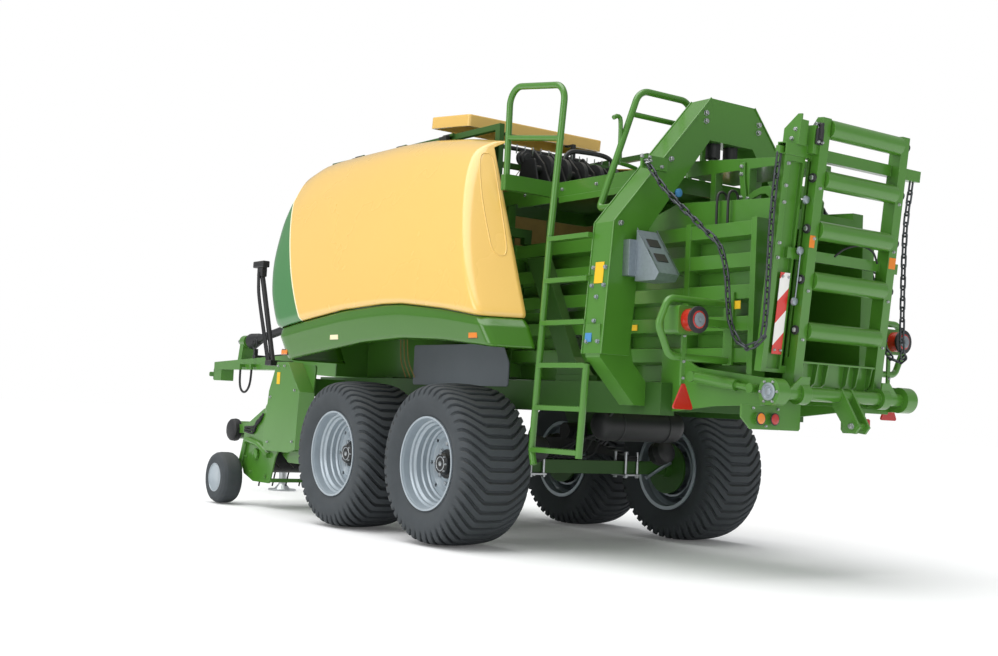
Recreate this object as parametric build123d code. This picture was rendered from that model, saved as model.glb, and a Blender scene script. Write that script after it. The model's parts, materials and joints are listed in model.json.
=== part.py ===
from build123d import *
import os
from math import cos, degrees, radians, sin, tan

os.makedirs("parts", exist_ok=True)

# Large square baler, in millimetres: +X is the way it travels, +Y its left, +Z up.
# It is laid out with x = 0 midway between the tandem axles, and moved at the end so
# that its overall box stands centred on the origin.

# Running gear
AXLE_SPACING = 1214
TRACK = 2083
TYRE_RADIUS = 520
TYRE_WIDTH = 530
LUG_COUNT = 36
LUG_WIDTH = 52
LUG_HEIGHT = 20
# Across the lug: place along the axle, outer and inner radius, how far it is swept back
LUG_SECTIONS = [(-259, 452, 420, 172), (-238, 492, 455, 152), (-200, 510, 478, 116), (-80, 519.5, 480, 0),
                (80, 519.5, 480, 0), (200, 510, 478, 116), (238, 492, 455, 152), (259, 452, 420, 172)]
RIM_RADIUS = 300
RIM_WIDTH = 450
RIM_WALL = 12
DRUM_RADIUS = 205
HUB_RADIUS = 92
SPINDLE_RADIUS = 40
AXLE_BEAM = 90
SPRING_Y = 420
SPRING_WIDTH = 80
SPRING_LEAF = 14
SPRING_LEAVES = 6
SPRING_ARCH = 55
SPRING_PIVOT = 190

# Chassis and drawbar
FRAME_Y = 560
FRAME_WIDTH = 110
FRAME_TOP = 1085
FRAME_HEIGHT = 190
FRAME_FRONT = 2050
FRAME_REAR = -2050
DRAWBAR_REAR = 1760
DRAWBAR_FRONT = 5360
DRAWBAR_TOP = 1330
GEARBOX_SEAT = 1210
DRAWBAR_TIP_TOP = 1245
DRAWBAR_TIP_HEIGHT = 75
DRAWBAR_HALF = 120
HITCH_EYE_RADIUS = 66
HITCH_EYE_BORE = 26
HITCH_Z = 1120
HOSE_ENDS = (4350, 4600)
HOSE_Y = 135
HOSE_TOP = 1165
HOSE_RADIUS = 11
HOLDER_X = 4340
JACK_X = 4150
JACK_Y = -170
JACK_RADIUS = 45
JACK_TRAVEL = 420

# Bale chamber
CHAMBER_INSIDE = 800
CHAMBER_WALL = 12
CHAMBER_FLOOR = 1110
CHAMBER_ROOF = 2015
CHAMBER_REAR = -2650
CHAMBER_FRONT = 1650
RIB_DEPTH = 88
RIB_HEIGHT = 108
RIB_PITCH = 178
RIB_COUNT = 5
RIB_FIRST = 1248

# Portal arch over the chamber
PORTAL_REAR = -1935
PORTAL_DEPTH = 168
PORTAL_FOOT_Y = 985
PORTAL_FOOT_Z = 1230
PORTAL_KNEE_Y = 930
PORTAL_KNEE_Z = 2000
PORTAL_TOP_Y = 190
PORTAL_TOP_Z = 2850
PORTAL_SECTION = 214
PORTAL_BEAM = 262
PRESS_NECK = 2500
PRESS_BEAM = [(-2560, 2365), (-1770, 2375), (-1770, 2475), (-2560, 2408)]
PRESS_BEAM_HALF = 200
PRESS_BEAM_SEAT = 2480

# Top deck, handrails and ladder
DECK_TOP = 2400
DECK_BOARD = 100
DECK_REAR = -1650
DECK_STEP = -850
DECK_BEAM = 50
DECK_FRONT = 60
DECK_WIDE = 930
DECK_NARROW = 500
RAIL_TUBE = 21
LADDER_Y = 960
LADDER_WIDTH = 450
LADDER_FIRST_RUNG = 650
RUNG_PITCH = 256
RUNG_COUNT = 6

# Side hoods
HOOD_WIDE = 1280
HOOD_WALL = 25
HOOD_HINGE_Y = 710
HOOD_HINGE_Z = 2822
HOOD_KNUCKLES = (150, 780, 1400)
COVER_HALF = 620
COVER_TOP = 3030
COVER_TILT = 5.5
COVER_REST = 2894
COVER_BEAM_X = 700

# Pick-up
PICKUP_HINGE_X = 1790
PICKUP_HINGE_Z = 830
PICKUP_HALF = 1012
REEL_X = 2330
REEL_Z = 430
REEL_TIP = 285
REEL_TUBE = 150
GAUGE_X = 2650
GAUGE_Y = 1145
GAUGE_RADIUS = 210
GAUGE_CLEARANCE = 6
GAUGE_WIDTH = 170
GAUGE_AXLE = 20

# Feed rotor
ROTOR_X = 1850
ROTOR_Z = 640
ROTOR_TUBE = 95
ROTOR_SHAFT = 30

# Drive
FLYWHEEL_X = 2330
FLYWHEEL_Z = 1790
FLYWHEEL_RADIUS = 360
DRIVE_RADIUS = 40
JOINT_BALL = 28
INPUT_X = 4900
INPUT_Z = 1455
SPLINE_RADIUS = 22.5

# Bale chute, folded up
CHUTE_PIVOT_X = -2858
CHUTE_PIVOT_Z = 1046
CHUTE_LEAN = 6.06
CHUTE_PIVOT_RADIUS = 37
CHUTE_RAIL_Y = 306
CHUTE_RAIL_WIDTH = 66
CHUTE_RAIL_LOW = 30
CHUTE_RAIL_HIGH = 112
CHUTE_LENGTH = 1505
ROLLER_RADIUS = 53
ROLLER_HALF = 302
ROLLER_FIRST = 342
ROLLER_PITCH = 277
ROLLER_COUNT = 5
ROLLER_OFFSET = 55
ROLLER_STUB = 15
CHUTE_TUBE_LOW = 1278
CHUTE_TUBE = 64
CHUTE_TUBE_Z = -118
CHUTE_TUBE_HALF = 576
CHUTE_MIDDLE = 725
CHUTE_POST = (410, 566)
CHUTE_POST_DEEP = 50
CHAIN_RADIUS = 14
CHAIN_PITCH = 52
CHAIN_HANG = {1: 592, -1: 540}
CHAIN_OVERLAP = 14
CHAIN_BRACKET = 12
ARM_Y = 515
ARM_PLATE = 20

# Lamps
LAMP_X = -2586
LAMP_Y = 873
LAMP_Z = 1415
LAMP_RADIUS = 62

RUNNING_CLEARANCE = 0.1


def block(x0, x1, y0, y1, z0, z1):
    """A box between six faces."""
    centre = ((x0 + x1) / 2, (y0 + y1) / 2, (z0 + z1) / 2)
    return Pos(*centre) * Box(abs(x1 - x0), abs(y1 - y0), abs(z1 - z0))


def disc_y(x, z, radius, y0, y1, bore=0):
    """A round piece with its axis along Y."""
    shape = Pos(x, (y0 + y1) / 2, z) * Rot(90, 0, 0) * Cylinder(radius, abs(y1 - y0))
    if bore:
        shape -= Pos(x, (y0 + y1) / 2, z) * Rot(90, 0, 0) * Cylinder(bore, abs(y1 - y0) + 2)
    return shape


def disc_x(y, z, radius, x0, x1, bore=0):
    """A round piece with its axis along X."""
    shape = Pos((x0 + x1) / 2, y, z) * Rot(0, 90, 0) * Cylinder(radius, abs(x1 - x0))
    if bore:
        shape -= Pos((x0 + x1) / 2, y, z) * Rot(0, 90, 0) * Cylinder(bore, abs(x1 - x0) + 2)
    return shape


def disc_z(x, y, radius, z0, z1, bore=0):
    """A round piece with its axis along Z."""
    shape = Pos(x, y, (z0 + z1) / 2) * Cylinder(radius, abs(z1 - z0))
    if bore:
        shape -= Pos(x, y, (z0 + z1) / 2) * Cylinder(bore, abs(z1 - z0) + 2)
    return shape


def plate_xz(points, y0, y1, corner=0):
    """A plate standing along the machine, from its side outline."""
    face = make_face(Polyline(*points, close=True))
    if corner:
        face = fillet(face.vertices(), corner)
    return Pos(0, max(y0, y1), 0) * (Plane.XZ * extrude(face, abs(y1 - y0)))


def plate_yz(points, x0, x1, corner=0):
    """A plate standing across the machine, from its outline seen along X."""
    face = make_face(Polyline(*points, close=True))
    if corner:
        face = fillet(face.vertices(), corner)
    return Pos(min(x0, x1), 0, 0) * (Plane.YZ * extrude(face, abs(x1 - x0)))


def plate_xy(points, z0, z1, corner=0):
    """A level plate, from its plan."""
    face = make_face(Polyline(*points, close=True))
    if corner:
        face = fillet(face.vertices(), corner)
    return Pos(0, 0, min(z0, z1)) * extrude(face, abs(z1 - z0))


def rod(start, end, radius):
    """A straight round bar between two points."""
    line = Line(start, end)
    return sweep(Plane(origin=start, z_dir=line % 0) * Circle(radius), line)


def pipe(points, radius, bend):
    """A bent round tube through corner points."""
    path = FilletPolyline(*points, radius=bend)
    return sweep(Plane(origin=points[0], z_dir=path % 0) * Circle(radius), path)


def beam(start, end, width, height):
    """A rectangular bar between two points, height in the plane that holds +Z."""
    line = Line(start, end)
    plane = Plane(origin=start, x_dir=Vector(*(line % 0)).cross(Vector(0, 0, 1)), z_dir=line % 0)
    return extrude(plane * Rectangle(width, height), line.length)


def other_side(shape):
    """The same piece on the machine's right."""
    return mirror(shape, Plane.XZ)


def both_sides(shape):
    return [shape, other_side(shape)]


def fuse(shapes):
    whole = shapes[0]
    for shape in shapes[1:]:
        whole = whole + shape
    return whole


def wheel_centres():
    """Name, x and side of the four main wheels."""
    half = AXLE_SPACING / 2
    return [("front_left", half, 1), ("front_right", half, -1),
            ("rear_left", -half, 1), ("rear_right", -half, -1)]


def place_wheel(shape, x, side):
    """Put a wheel piece, made about Y with its outer side at +Y, on its hub."""
    if side < 0:
        shape = other_side(shape)
    return Pos(x, side * TRACK / 2, TYRE_RADIUS) * shape


def turned(points):
    """Revolve an outline of (y, radius) points about the Y axis."""
    face = make_face(Polyline(*[(radius, y) for y, radius in points], close=True))
    return revolve(face, Axis.Y)


def tyre():
    """Low wide flotation tyre: the carcass between the rim flanges, and bent lugs round it."""
    half = TYRE_WIDTH / 2
    bead = RIM_WIDTH / 2
    seat = RIM_RADIUS - 14
    wall = [(bead, seat), (bead, RIM_RADIUS), (half - 13, 350), (half, 400), (half - 6, 450),
            (half - 30, 484), (half - 84, 494), (120, 498), (60, TYRE_RADIUS - LUG_HEIGHT)]
    carcass = turned([(-y, radius) for y, radius in wall] + wall[::-1])
    lug = tyre_lug()
    return carcass.fuse(*[Rot(0, index * 360 / LUG_COUNT, 0) * lug for index in range(LUG_COUNT)])


def tyre_lug():
    """One lug: straight across the crown, and swept back over both shoulders."""
    sections = []
    for y, top, foot, sweep in LUG_SECTIONS:
        turn = Rot(0, -degrees(sweep / TYRE_RADIUS), 0)
        outline = Polyline((-LUG_WIDTH / 2, y, top), (LUG_WIDTH / 2, y, top), (LUG_WIDTH / 2 + 4, y, foot),
                           (-LUG_WIDTH / 2 - 4, y, foot), close=True)
        sections.append(turn * make_face(outline))
    halves = [loft(sections[index:index + 2], ruled=True) for index in range(len(sections) - 1)]
    return fuse(halves)


def rim():
    """Deep dished steel wheel with its hub and brake drum."""
    half = RIM_WIDTH / 2
    flange = RIM_RADIUS
    seat = RIM_RADIUS - 14
    well = RIM_RADIUS - 38
    wall = RIM_WALL
    barrel = turned([(-half - wall, flange), (-half, flange), (-half, seat), (-half + 60, seat),
                     (-half + 90, well), (half - 90, well), (half - 60, seat), (half, seat),
                     (half, flange), (half + wall, flange), (half + wall, 288), (half - 6, 284),
                     (half - 50, 279), (half - 58, 268), (half - 72, 264), (half - 84, 250),
                     (half - 116, 247), (half - 124, 237), (half - 152, 234), (half - 160, 223),
                     (52, 221), (40, 221), (30, 250), (-half + 84, well - wall), (-half + 52, seat - wall),
                     (-half - wall, seat - wall)])
    disc = turned([(28, 60), (28, 168), (52, 186), (52, 232), (40, 232), (40, 190),
                   (14, 174), (14, 60)])
    slots = []
    for index in range(8):
        slot = Rot(0, index * 45, 0) * Pos(0, 40, 203) * Rot(90, 0, 0) * Cylinder(13, 60)
        slots.append(slot)
    disc = disc - fuse(slots)
    drum = turned([(14, SPINDLE_RADIUS + 20), (14, DRUM_RADIUS - 30), (-20, DRUM_RADIUS),
                   (-180, DRUM_RADIUS), (-180, DRUM_RADIUS - 14), (-20, DRUM_RADIUS - 14),
                   (-4, SPINDLE_RADIUS + 20)])
    hub = turned([(-120, SPINDLE_RADIUS + RUNNING_CLEARANCE), (60, SPINDLE_RADIUS + RUNNING_CLEARANCE),
                  (60, 0), (118, 0), (118, 52), (108, 62), (60, 66), (60, HUB_RADIUS), (28, 150),
                  (14, 150), (-60, HUB_RADIUS - 8), (-120, HUB_RADIUS - 18)])
    return fuse([barrel, disc, drum, hub])


def axle(x):
    """Square axle beam with a spindle and brake back plate at each end."""
    inner = TRACK / 2 - 230
    parts = [block(x - AXLE_BEAM / 2, x + AXLE_BEAM / 2, -inner, inner,
                   TYRE_RADIUS - AXLE_BEAM / 2, TYRE_RADIUS + AXLE_BEAM / 2)]
    for side in (1, -1):
        spindle_end = side * (TRACK / 2 + 55)
        parts.append(disc_y(x, TYRE_RADIUS, SPINDLE_RADIUS, side * (inner - 20), spindle_end))
        parts.append(disc_y(x, TYRE_RADIUS, DRUM_RADIUS - 22, side * (inner - 8), side * (inner + 12)))
        parts.append(disc_y(x, TYRE_RADIUS, 66, side * (inner - 60), side * (inner + 70)))
    return fuse(parts)


def leaf_springs():
    """A leaf pack each side that rocks on the frame and rests on both axles."""
    seat = TYRE_RADIUS + AXLE_BEAM / 2
    half = AXLE_SPACING / 2
    pieces = []
    longest = half + 70
    for leaf in range(SPRING_LEAVES):
        reach = longest - leaf * 78
        crown = seat + SPRING_ARCH + leaf * SPRING_LEAF
        tip = crown - SPRING_ARCH * (reach / longest) ** 2
        low = [(-reach, tip), (0, crown), (reach, tip)]
        high = [(reach, tip + SPRING_LEAF), (0, crown + SPRING_LEAF), (-reach, tip + SPRING_LEAF)]
        face = make_face([ThreePointArc(*low), Line(low[2], high[0]), ThreePointArc(*high),
                          Line(high[2], low[0])])
        pieces.append(extrude(Plane.XZ * face, SPRING_WIDTH / 2, both=True))
    pack = fuse(pieces)
    saddle = block(-80, 80, -SPRING_WIDTH / 2 - 15, SPRING_WIDTH / 2 + 15, seat + 30, seat + SPRING_PIVOT)
    pivot = disc_y(0, seat + SPRING_PIVOT, 60, -SPRING_WIDTH / 2 - 45, SPRING_WIDTH / 2 + 45)
    clamps = []
    for x in (-half, half):
        clamps.append(block(x - 62, x + 62, -SPRING_WIDTH / 2 - 12, SPRING_WIDTH / 2 + 12, seat, seat + 36))
    return both_sides(Pos(0, SPRING_Y, 0) * fuse([pack, saddle, pivot] + clamps))


def main_frame():
    """Two long beams, cross members, spring hangers and the rear bracket plates."""
    low = FRAME_TOP - FRAME_HEIGHT
    inner = FRAME_Y - FRAME_WIDTH / 2
    parts = []
    for side in (1, -1):
        y0 = side * (FRAME_Y - FRAME_WIDTH / 2)
        y1 = side * (FRAME_Y + FRAME_WIDTH / 2)
        parts.append(block(FRAME_REAR, FRAME_FRONT, y0, y1, low, FRAME_TOP))
        parts.append(plate_xz([(-230, low + 10), (230, low + 10), (80, 680), (-80, 680)], y0, y1, 20))
    for x in (FRAME_REAR + 60, -1150, 350, 1150, FRAME_FRONT - 60):
        top = CHAMBER_FLOOR - CHAMBER_WALL if x < CHAMBER_FRONT else FRAME_TOP
        parts.append(block(x - 50, x + 50, -inner, inner, low + 30, top))
    parts.append(block(DRAWBAR_REAR - 60, FRAME_FRONT, -inner, inner, FRAME_TOP - 40, FRAME_TOP))
    return fuse(parts + side_braces())


def drawbar():
    """Welded beam over the pick-up, wide behind and slim at the hitch head."""
    tip = DRAWBAR_TIP_TOP
    low = tip - DRAWBAR_TIP_HEIGHT
    side = plate_xz([(DRAWBAR_REAR, FRAME_TOP), (DRAWBAR_REAR, GEARBOX_SEAT), (2140, GEARBOX_SEAT), (2500, DRAWBAR_TOP),
                     (3300, DRAWBAR_TOP - 12), (DRAWBAR_FRONT, tip), (DRAWBAR_FRONT, low),
                     (3900, low - 5), (3000, 1120), (2150, FRAME_TOP)], -260, 260)
    plan = plate_xy([(DRAWBAR_REAR, -250), (2300, -200), (3400, -DRAWBAR_HALF), (DRAWBAR_FRONT, -75),
                     (DRAWBAR_FRONT, 75), (3400, DRAWBAR_HALF), (2300, 200), (DRAWBAR_REAR, 250)],
                    FRAME_TOP - 10, DRAWBAR_TOP + 10)
    lug_z = HITCH_Z - 65
    head = block(DRAWBAR_FRONT - 170, DRAWBAR_FRONT, -70, 70, lug_z, low)
    clamp = block(JACK_X - 70, JACK_X + 70, JACK_Y, -DRAWBAR_HALF + 40, 1180, 1290)
    clamp -= disc_z(JACK_X, JACK_Y, JACK_RADIUS, 1100, 1350)
    parts = [side & plan, head, clamp, input_bearing()]
    for x in HOSE_ENDS:
        parts.append(block(x - 15, x + 15, 60, 150, 1190, 1220))
        parts.append(disc_z(x, HOSE_Y, 14, HOSE_TOP, 1192))
    return fuse(parts)


def hitch_eye():
    """Forged towing eye on a flange at the drawbar head."""
    flange = block(DRAWBAR_FRONT, DRAWBAR_FRONT + 24, -68, 68, HITCH_Z - 62, HITCH_Z + 62)
    flange = fillet(flange.edges().filter_by(Axis.X), 14)
    centre = DRAWBAR_FRONT + 24 + 96
    shank = disc_x(0, HITCH_Z, 30, DRAWBAR_FRONT + 20, centre - 20)
    ring = disc_z(centre, 0, HITCH_EYE_RADIUS, HITCH_Z - 24, HITCH_Z + 24)
    ring = fillet(ring.edges(), 14)
    whole = fuse([flange, shank, ring])
    return whole - disc_z(centre, 0, HITCH_EYE_BORE, HITCH_Z - 40, HITCH_Z + 40)


def jack_housing():
    """Outer tube of the parking jack, clamped to the drawbar's right side."""
    tube = disc_z(JACK_X, JACK_Y, JACK_RADIUS, 640, 1500)
    bore = disc_z(JACK_X, JACK_Y, JACK_RADIUS - 7, 600, 1480)
    crank = disc_y(JACK_X, 1440, 14, JACK_Y - 120, JACK_Y - JACK_RADIUS + 3)
    handle = rod((JACK_X, JACK_Y - 112, 1440), (JACK_X + 130, JACK_Y - 112, 1440), 9)
    return fuse([tube - bore, crank, handle])


def jack_foot():
    """Inner leg and foot plate of the parking jack."""
    leg = disc_z(JACK_X, JACK_Y, JACK_RADIUS - 7 - RUNNING_CLEARANCE, 20, 1040)
    foot = disc_z(JACK_X, JACK_Y, 135, 0, 16)
    cone = Pos(JACK_X, JACK_Y, 40) * Cone(80, 38, 50)
    return fuse([leg, foot, cone])


def bale_chamber():
    """Open channel with a floor, ribbed side walls and a roof over its front part."""
    half = CHAMBER_INSIDE / 2
    outer = half + CHAMBER_WALL
    roof = CHAMBER_ROOF
    wall = block(CHAMBER_REAR, CHAMBER_FRONT, half, outer, CHAMBER_FLOOR - CHAMBER_WALL, roof)
    ribs = []
    for index in range(RIB_COUNT):
        z0 = RIB_FIRST + index * RIB_PITCH - RIB_HEIGHT / 2
        profile = [(outer, z0), (outer + RIB_DEPTH, z0 + 14), (outer + RIB_DEPTH, z0 + RIB_HEIGHT - 14),
                   (outer, z0 + RIB_HEIGHT)]
        ribs.append(plate_yz(profile, CHAMBER_REAR + 40, 250))
    for x in (CHAMBER_REAR, -2130, -1560, -420, 250):
        ribs.append(block(x, x + 40, outer, outer + RIB_DEPTH + 4, CHAMBER_FLOOR, roof))
    side = fuse([wall] + ribs)
    floor = block(CHAMBER_REAR, CHAMBER_FRONT, -outer, outer, CHAMBER_FLOOR - CHAMBER_WALL, CHAMBER_FLOOR)
    top = block(-1600, CHAMBER_FRONT, -outer, outer, roof, roof + CHAMBER_WALL)
    front = block(CHAMBER_FRONT - CHAMBER_WALL, CHAMBER_FRONT, -outer, outer, CHAMBER_FLOOR, roof)
    return fuse([side, other_side(side), floor, top, front])


def chamber_top():
    """Pressing flap over the rear of the channel, with two box beams and cross ribs."""
    half = CHAMBER_INSIDE / 2 - 6
    base = CHAMBER_ROOF - 30
    parts = [block(CHAMBER_REAR, -1640, -half, half, base, base + 12)]
    for side in (1, -1):
        parts.append(plate_xz([(CHAMBER_REAR, base + 10), (-1640, base + 10), (-1640, base + 110),
                               (-1900, base + 190), (CHAMBER_REAR, base + 150)],
                              side * (half - 90), side * half))
    for x in (CHAMBER_REAR, -2300, -2020, -1720):
        parts.append(block(x, x + 60, -half, half, base + 10, base + 110))
    upper = plate_xz(PRESS_BEAM, -PRESS_BEAM_HALF, PRESS_BEAM_HALF)
    parts.append(upper)
    parts.append(block(-1905, -1797, -130, 130, 2440, PRESS_BEAM_SEAT))
    for x in (-2290, -2010):
        for side in (1, -1):
            parts.append(block(x, x + 40, side * (PRESS_BEAM_HALF - 60), side * PRESS_BEAM_HALF, base + 100, 2390))
    return fuse(parts)


def portal_arch():
    """Welded box arch over the channel that carries the press cylinders."""
    foot, knee, top = PORTAL_FOOT_Y, PORTAL_KNEE_Y, PORTAL_TOP_Y
    section = PORTAL_SECTION
    outer = [(foot, PORTAL_FOOT_Z), (knee, PORTAL_KNEE_Z), (top, PORTAL_TOP_Z), (-top, PORTAL_TOP_Z),
             (-knee, PORTAL_KNEE_Z), (-foot, PORTAL_FOOT_Z)]
    inner = [(foot - section, PORTAL_FOOT_Z - 5), (knee - section, PORTAL_KNEE_Z - 87),
             (top - 3, PORTAL_TOP_Z - PORTAL_BEAM), (-top + 3, PORTAL_TOP_Z - PORTAL_BEAM),
             (-knee + section, PORTAL_KNEE_Z - 87), (-foot + section, PORTAL_FOOT_Z - 5)]
    x0, x1 = PORTAL_REAR, PORTAL_REAR + PORTAL_DEPTH
    frame = FRAME_Y + FRAME_WIDTH / 2
    arch = plate_yz(outer, x0, x1) - plate_yz(inner, x0 - 1, x1 + 1)
    bracket = plate_yz([(foot - section, 1400), (foot, 1400), (foot - 10, 1210), (700, FRAME_TOP - 140),
                        (frame, FRAME_TOP - 140), (frame, FRAME_TOP), (720, 1190)],
                       x0 + 20, x1 - 20)
    hook = block(x0 - CHAIN_BRACKET, x0 + 2, 540, 745, 2340, 2420)
    return fuse([arch] + both_sides(bracket) + both_sides(hook))


def press_cylinders():
    """Two cylinders that push the flap down from the arch."""
    x = PORTAL_REAR + PORTAL_DEPTH / 2
    low = PRESS_BEAM_SEAT
    shapes = []
    for y in (-75, 75):
        barrel = disc_z(x, y, 46, PRESS_NECK, PORTAL_TOP_Z - PORTAL_BEAM)
        piston = disc_z(x, y, 26, low, PRESS_NECK + 10)
        shapes.append(fuse([barrel, piston]))
    return shapes


def top_deck():
    """Walkway over the chamber with toe boards, posts and the hood hinge rails."""
    low = DECK_TOP - DECK_BOARD
    wide, narrow, ahead = DECK_WIDE, DECK_NARROW, DECK_STEP + DECK_BEAM
    plan = [(DECK_REAR, -narrow), (DECK_STEP, -narrow), (DECK_STEP, -wide), (ahead, -wide), (ahead, -narrow),
            (DECK_FRONT, -narrow), (DECK_FRONT, narrow), (ahead, narrow), (ahead, wide), (DECK_STEP, wide),
            (DECK_STEP, narrow), (DECK_REAR, narrow)]
    deck = plate_xy(plan, low, DECK_TOP)
    deck -= block(DECK_REAR + 12, DECK_FRONT - 12, -DECK_NARROW + 12, DECK_NARROW - 12, low - 1, DECK_TOP - 10)
    parts = [deck]
    inner = CHAMBER_INSIDE / 2 + 30
    for x in (-1560, -300):
        for side in (1, -1):
            parts.append(block(x, x + 60, side * inner, side * (inner + 60), CHAMBER_ROOF, low + 20))
    return fuse(parts)


def hinge_rails():
    """Side rails for the hood hinges on three arched cross frames."""
    rail_y = HOOD_HINGE_Y - 34
    rail_z = HOOD_HINGE_Z - 12
    parts = []
    for side in (1, -1):
        y0 = side * (rail_y - 20)
        y1 = side * (rail_y + 20)
        parts.append(block(-430, 1900, y0, y1, rail_z - 20, rail_z + 20))
        for x in (-430, COVER_BEAM_X, 1600):
            parts.append(block(x, x + 50, y0, y1, 2110, rail_z))
            parts.append(block(x, x + 50, side * 420, side * (rail_y + 20), 2070, 2130))
            parts.append(block(x, x + 50, side * 380, side * 440, CHAMBER_ROOF + CHAMBER_WALL, 2130))
    for x in (COVER_BEAM_X, 1600):
        parts.append(block(x, x + 50, -rail_y, rail_y, rail_z - 20, rail_z + 20))
    for x in HOOD_KNUCKLES:
        for side in (1, -1):
            parts.append(disc_x(side * HOOD_HINGE_Y, HOOD_HINGE_Z, 12, x - 34, x - 1))
            parts.append(block(x - 34, x - 1, side * (rail_y + 10), side * HOOD_HINGE_Y, rail_z + 2, HOOD_HINGE_Z + 10))
    return fuse(parts)


def hood_form(inset):
    """Bulged body of a side hood, drawn in by the inset, reaching past its open faces."""
    wide = HOOD_WIDE - inset
    top = 2812 - inset
    section = make_face([
        Line((HOOD_HINGE_Y + 8 - (inset > 0) * 40, 1100), (wide - 30, 1100)),
        ThreePointArc((wide - 30, 1100), (wide, 1560), (wide - 70, 2020)),
        ThreePointArc((wide - 70, 2020), (wide - 150, 2330), (wide - 265, 2600)),
        ThreePointArc((wide - 265, 2600), (wide - 330, 2700), (wide - 430, top - 20)),
        Line((wide - 430, top - 20), (HOOD_HINGE_Y + 8 - (inset > 0) * 40, top)),
        Line((HOOD_HINGE_Y + 8 - (inset > 0) * 40, top), (HOOD_HINGE_Y + 8 - (inset > 0) * 40, 1100))])
    body = Pos(-1400, 0, 0) * extrude(Plane.YZ * section, 3500)
    front_top = 2010 - inset
    outline = make_face([
        Line((-1400, 1000), (1430, 1000)),
        Line((1430, 1000), (1500 - inset, 1195)),
        ThreePointArc((1500 - inset, 1195), (1790 - inset, 1700), (1950 - inset, 2200)),
        Line((1950 - inset, 2200), (front_top, 2560)),
        ThreePointArc((front_top, 2560), (1900 - inset, 2740 - inset), (1680, 2805 - inset)),
        ThreePointArc((1680, 2805 - inset), (600, 2822 - inset), (-520, 2690 - inset)),
        Line((-520, 2690 - inset), (-1400, 2690 - inset)),
        Line((-1400, 2690 - inset), (-1400, 1000))])
    return body & (Pos(0, 1500, 0) * extrude(Plane.XZ * outline, 1500))


def rear_corner(inset):
    """Half-space behind a hood's leaning rear corner panel."""
    crease = Vector(-1120 + inset, 1270 - inset, 1440)
    along = Vector(640, -270, 1190)
    across = Vector(-120, -270, 0)
    plane = Plane(origin=crease, x_dir=across, z_dir=across.cross(along))
    cutter = Box(4000, 4000, 1500, align=(Align.CENTER, Align.CENTER, Align.MIN))
    return plane.location * cutter


def skirt_line(shift):
    """Everything below the arched joint between hood and skirt, moved up by the shift."""
    arch = make_face([ThreePointArc((-1400, 1405 + shift), (-100, 1560 + shift), (1620, 1425 + shift)),
                      Line((1620, 1425 + shift), (2200, 1340 + shift)),
                      Line((2200, 1340 + shift), (2200, 900)), Line((2200, 900), (-1400, 900)),
                      Line((-1400, 900), (-1400, 1405 + shift))])
    return Pos(0, 1500, 0) * extrude(Plane.XZ * arch, 1500)


def under_arch():
    """What the skirt's arched lower edge leaves open over the wheels."""
    arch = make_face([ThreePointArc((-1400, 1245), (-150, 1322), (1520, 1195)),
                      Line((1520, 1195), (2200, 1195)), Line((2200, 1195), (2200, 900)),
                      Line((2200, 900), (-1400, 900)), Line((-1400, 900), (-1400, 1245))])
    return Pos(0, 1500, 0) * extrude(Plane.XZ * arch, 1500)


def hood_shell():
    """The whole left hood and skirt as one open shell."""
    shell = (hood_form(0) - rear_corner(0)) - (hood_form(HOOD_WALL) - rear_corner(HOOD_WALL))
    inner = plate_yz([(500, 1100), (1010, 1100), (1000, 1440), (825, 2630), (500, 2630)], -1500, -450)
    return shell - under_arch() - inner


def hood(shell):
    """Yellow upper hood with its hinge knuckles."""
    upper = shell - skirt_line(0)
    knuckles = []
    for x in HOOD_KNUCKLES:
        knuckles.append(block(x, x + 90, HOOD_HINGE_Y, HOOD_HINGE_Y + 40, HOOD_HINGE_Z - 50, HOOD_HINGE_Z - 6))
        knuckles.append(disc_x(HOOD_HINGE_Y, HOOD_HINGE_Z, 12, x, x + 90))
    return fuse([upper] + knuckles)


def skirt(shell):
    """Green lower skirt, fixed to the hood."""
    return shell & skirt_line(0)


def knotter_cover():
    """Yellow roof over the knotters, a tray turned over, hinged at its front edge."""
    x0, x1 = 60, 560
    height = 86
    tray = block(x0, x1, -COVER_HALF, COVER_HALF, COVER_TOP - height, COVER_TOP)
    tray = fillet(tray.edges().filter_by(Axis.Z), 24)
    tray = fillet(tray.faces().sort_by(Axis.Z)[-1].edges(), 10)
    tray -= block(x0 + 14, x1 - 14, -COVER_HALF + 14, COVER_HALF - 14, COVER_TOP - height - 1, COVER_TOP - 14)
    knuckles = [block(x1 - 16, x1 + 14, y - 40, y + 40, COVER_TOP - height - 8, COVER_TOP - height + 22)
                for y in (-380, 380)]
    knuckles += [disc_y(x1 + 14, COVER_TOP - height - 8, 10, y - 40, y + 40) for y in (-380, 380)]
    hinge = Pos(x1 + 14, 0, COVER_TOP - height - 8)
    return hinge * Rot(0, -COVER_TILT, 0) * hinge.inverse() * fuse([tray] + knuckles)


def cover_stand():
    """Black tube frame that carries the knotter cover's hinge and its rear rest."""
    hinge_x, hinge_z = 574, COVER_TOP - 105
    parts = []
    for side in (1, -1):
        y = side * 380
        parts.append(block(hinge_x - 20, hinge_x + 20, y - 30, y + 30, 2840, hinge_z))
        parts.append(block(hinge_x - 25, COVER_BEAM_X, y - 30, y + 30, 2790, 2850))
        parts.append(block(-8, 20, side * 300 - 14, side * 300 + 14, 2780, COVER_REST))
        parts.append(block(-8, 90, side * 300 - 14, side * 300 + 14, COVER_REST - 12, COVER_REST))
    loop = pipe([(6, 470, DECK_TOP), (6, 470, 2780), (6, -470, 2780), (6, -470, DECK_TOP)], 16, 90)
    return [fuse(parts[0:2] ), fuse(parts[4:6]), fuse([loop] + parts[2:4] + parts[6:8])]


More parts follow.
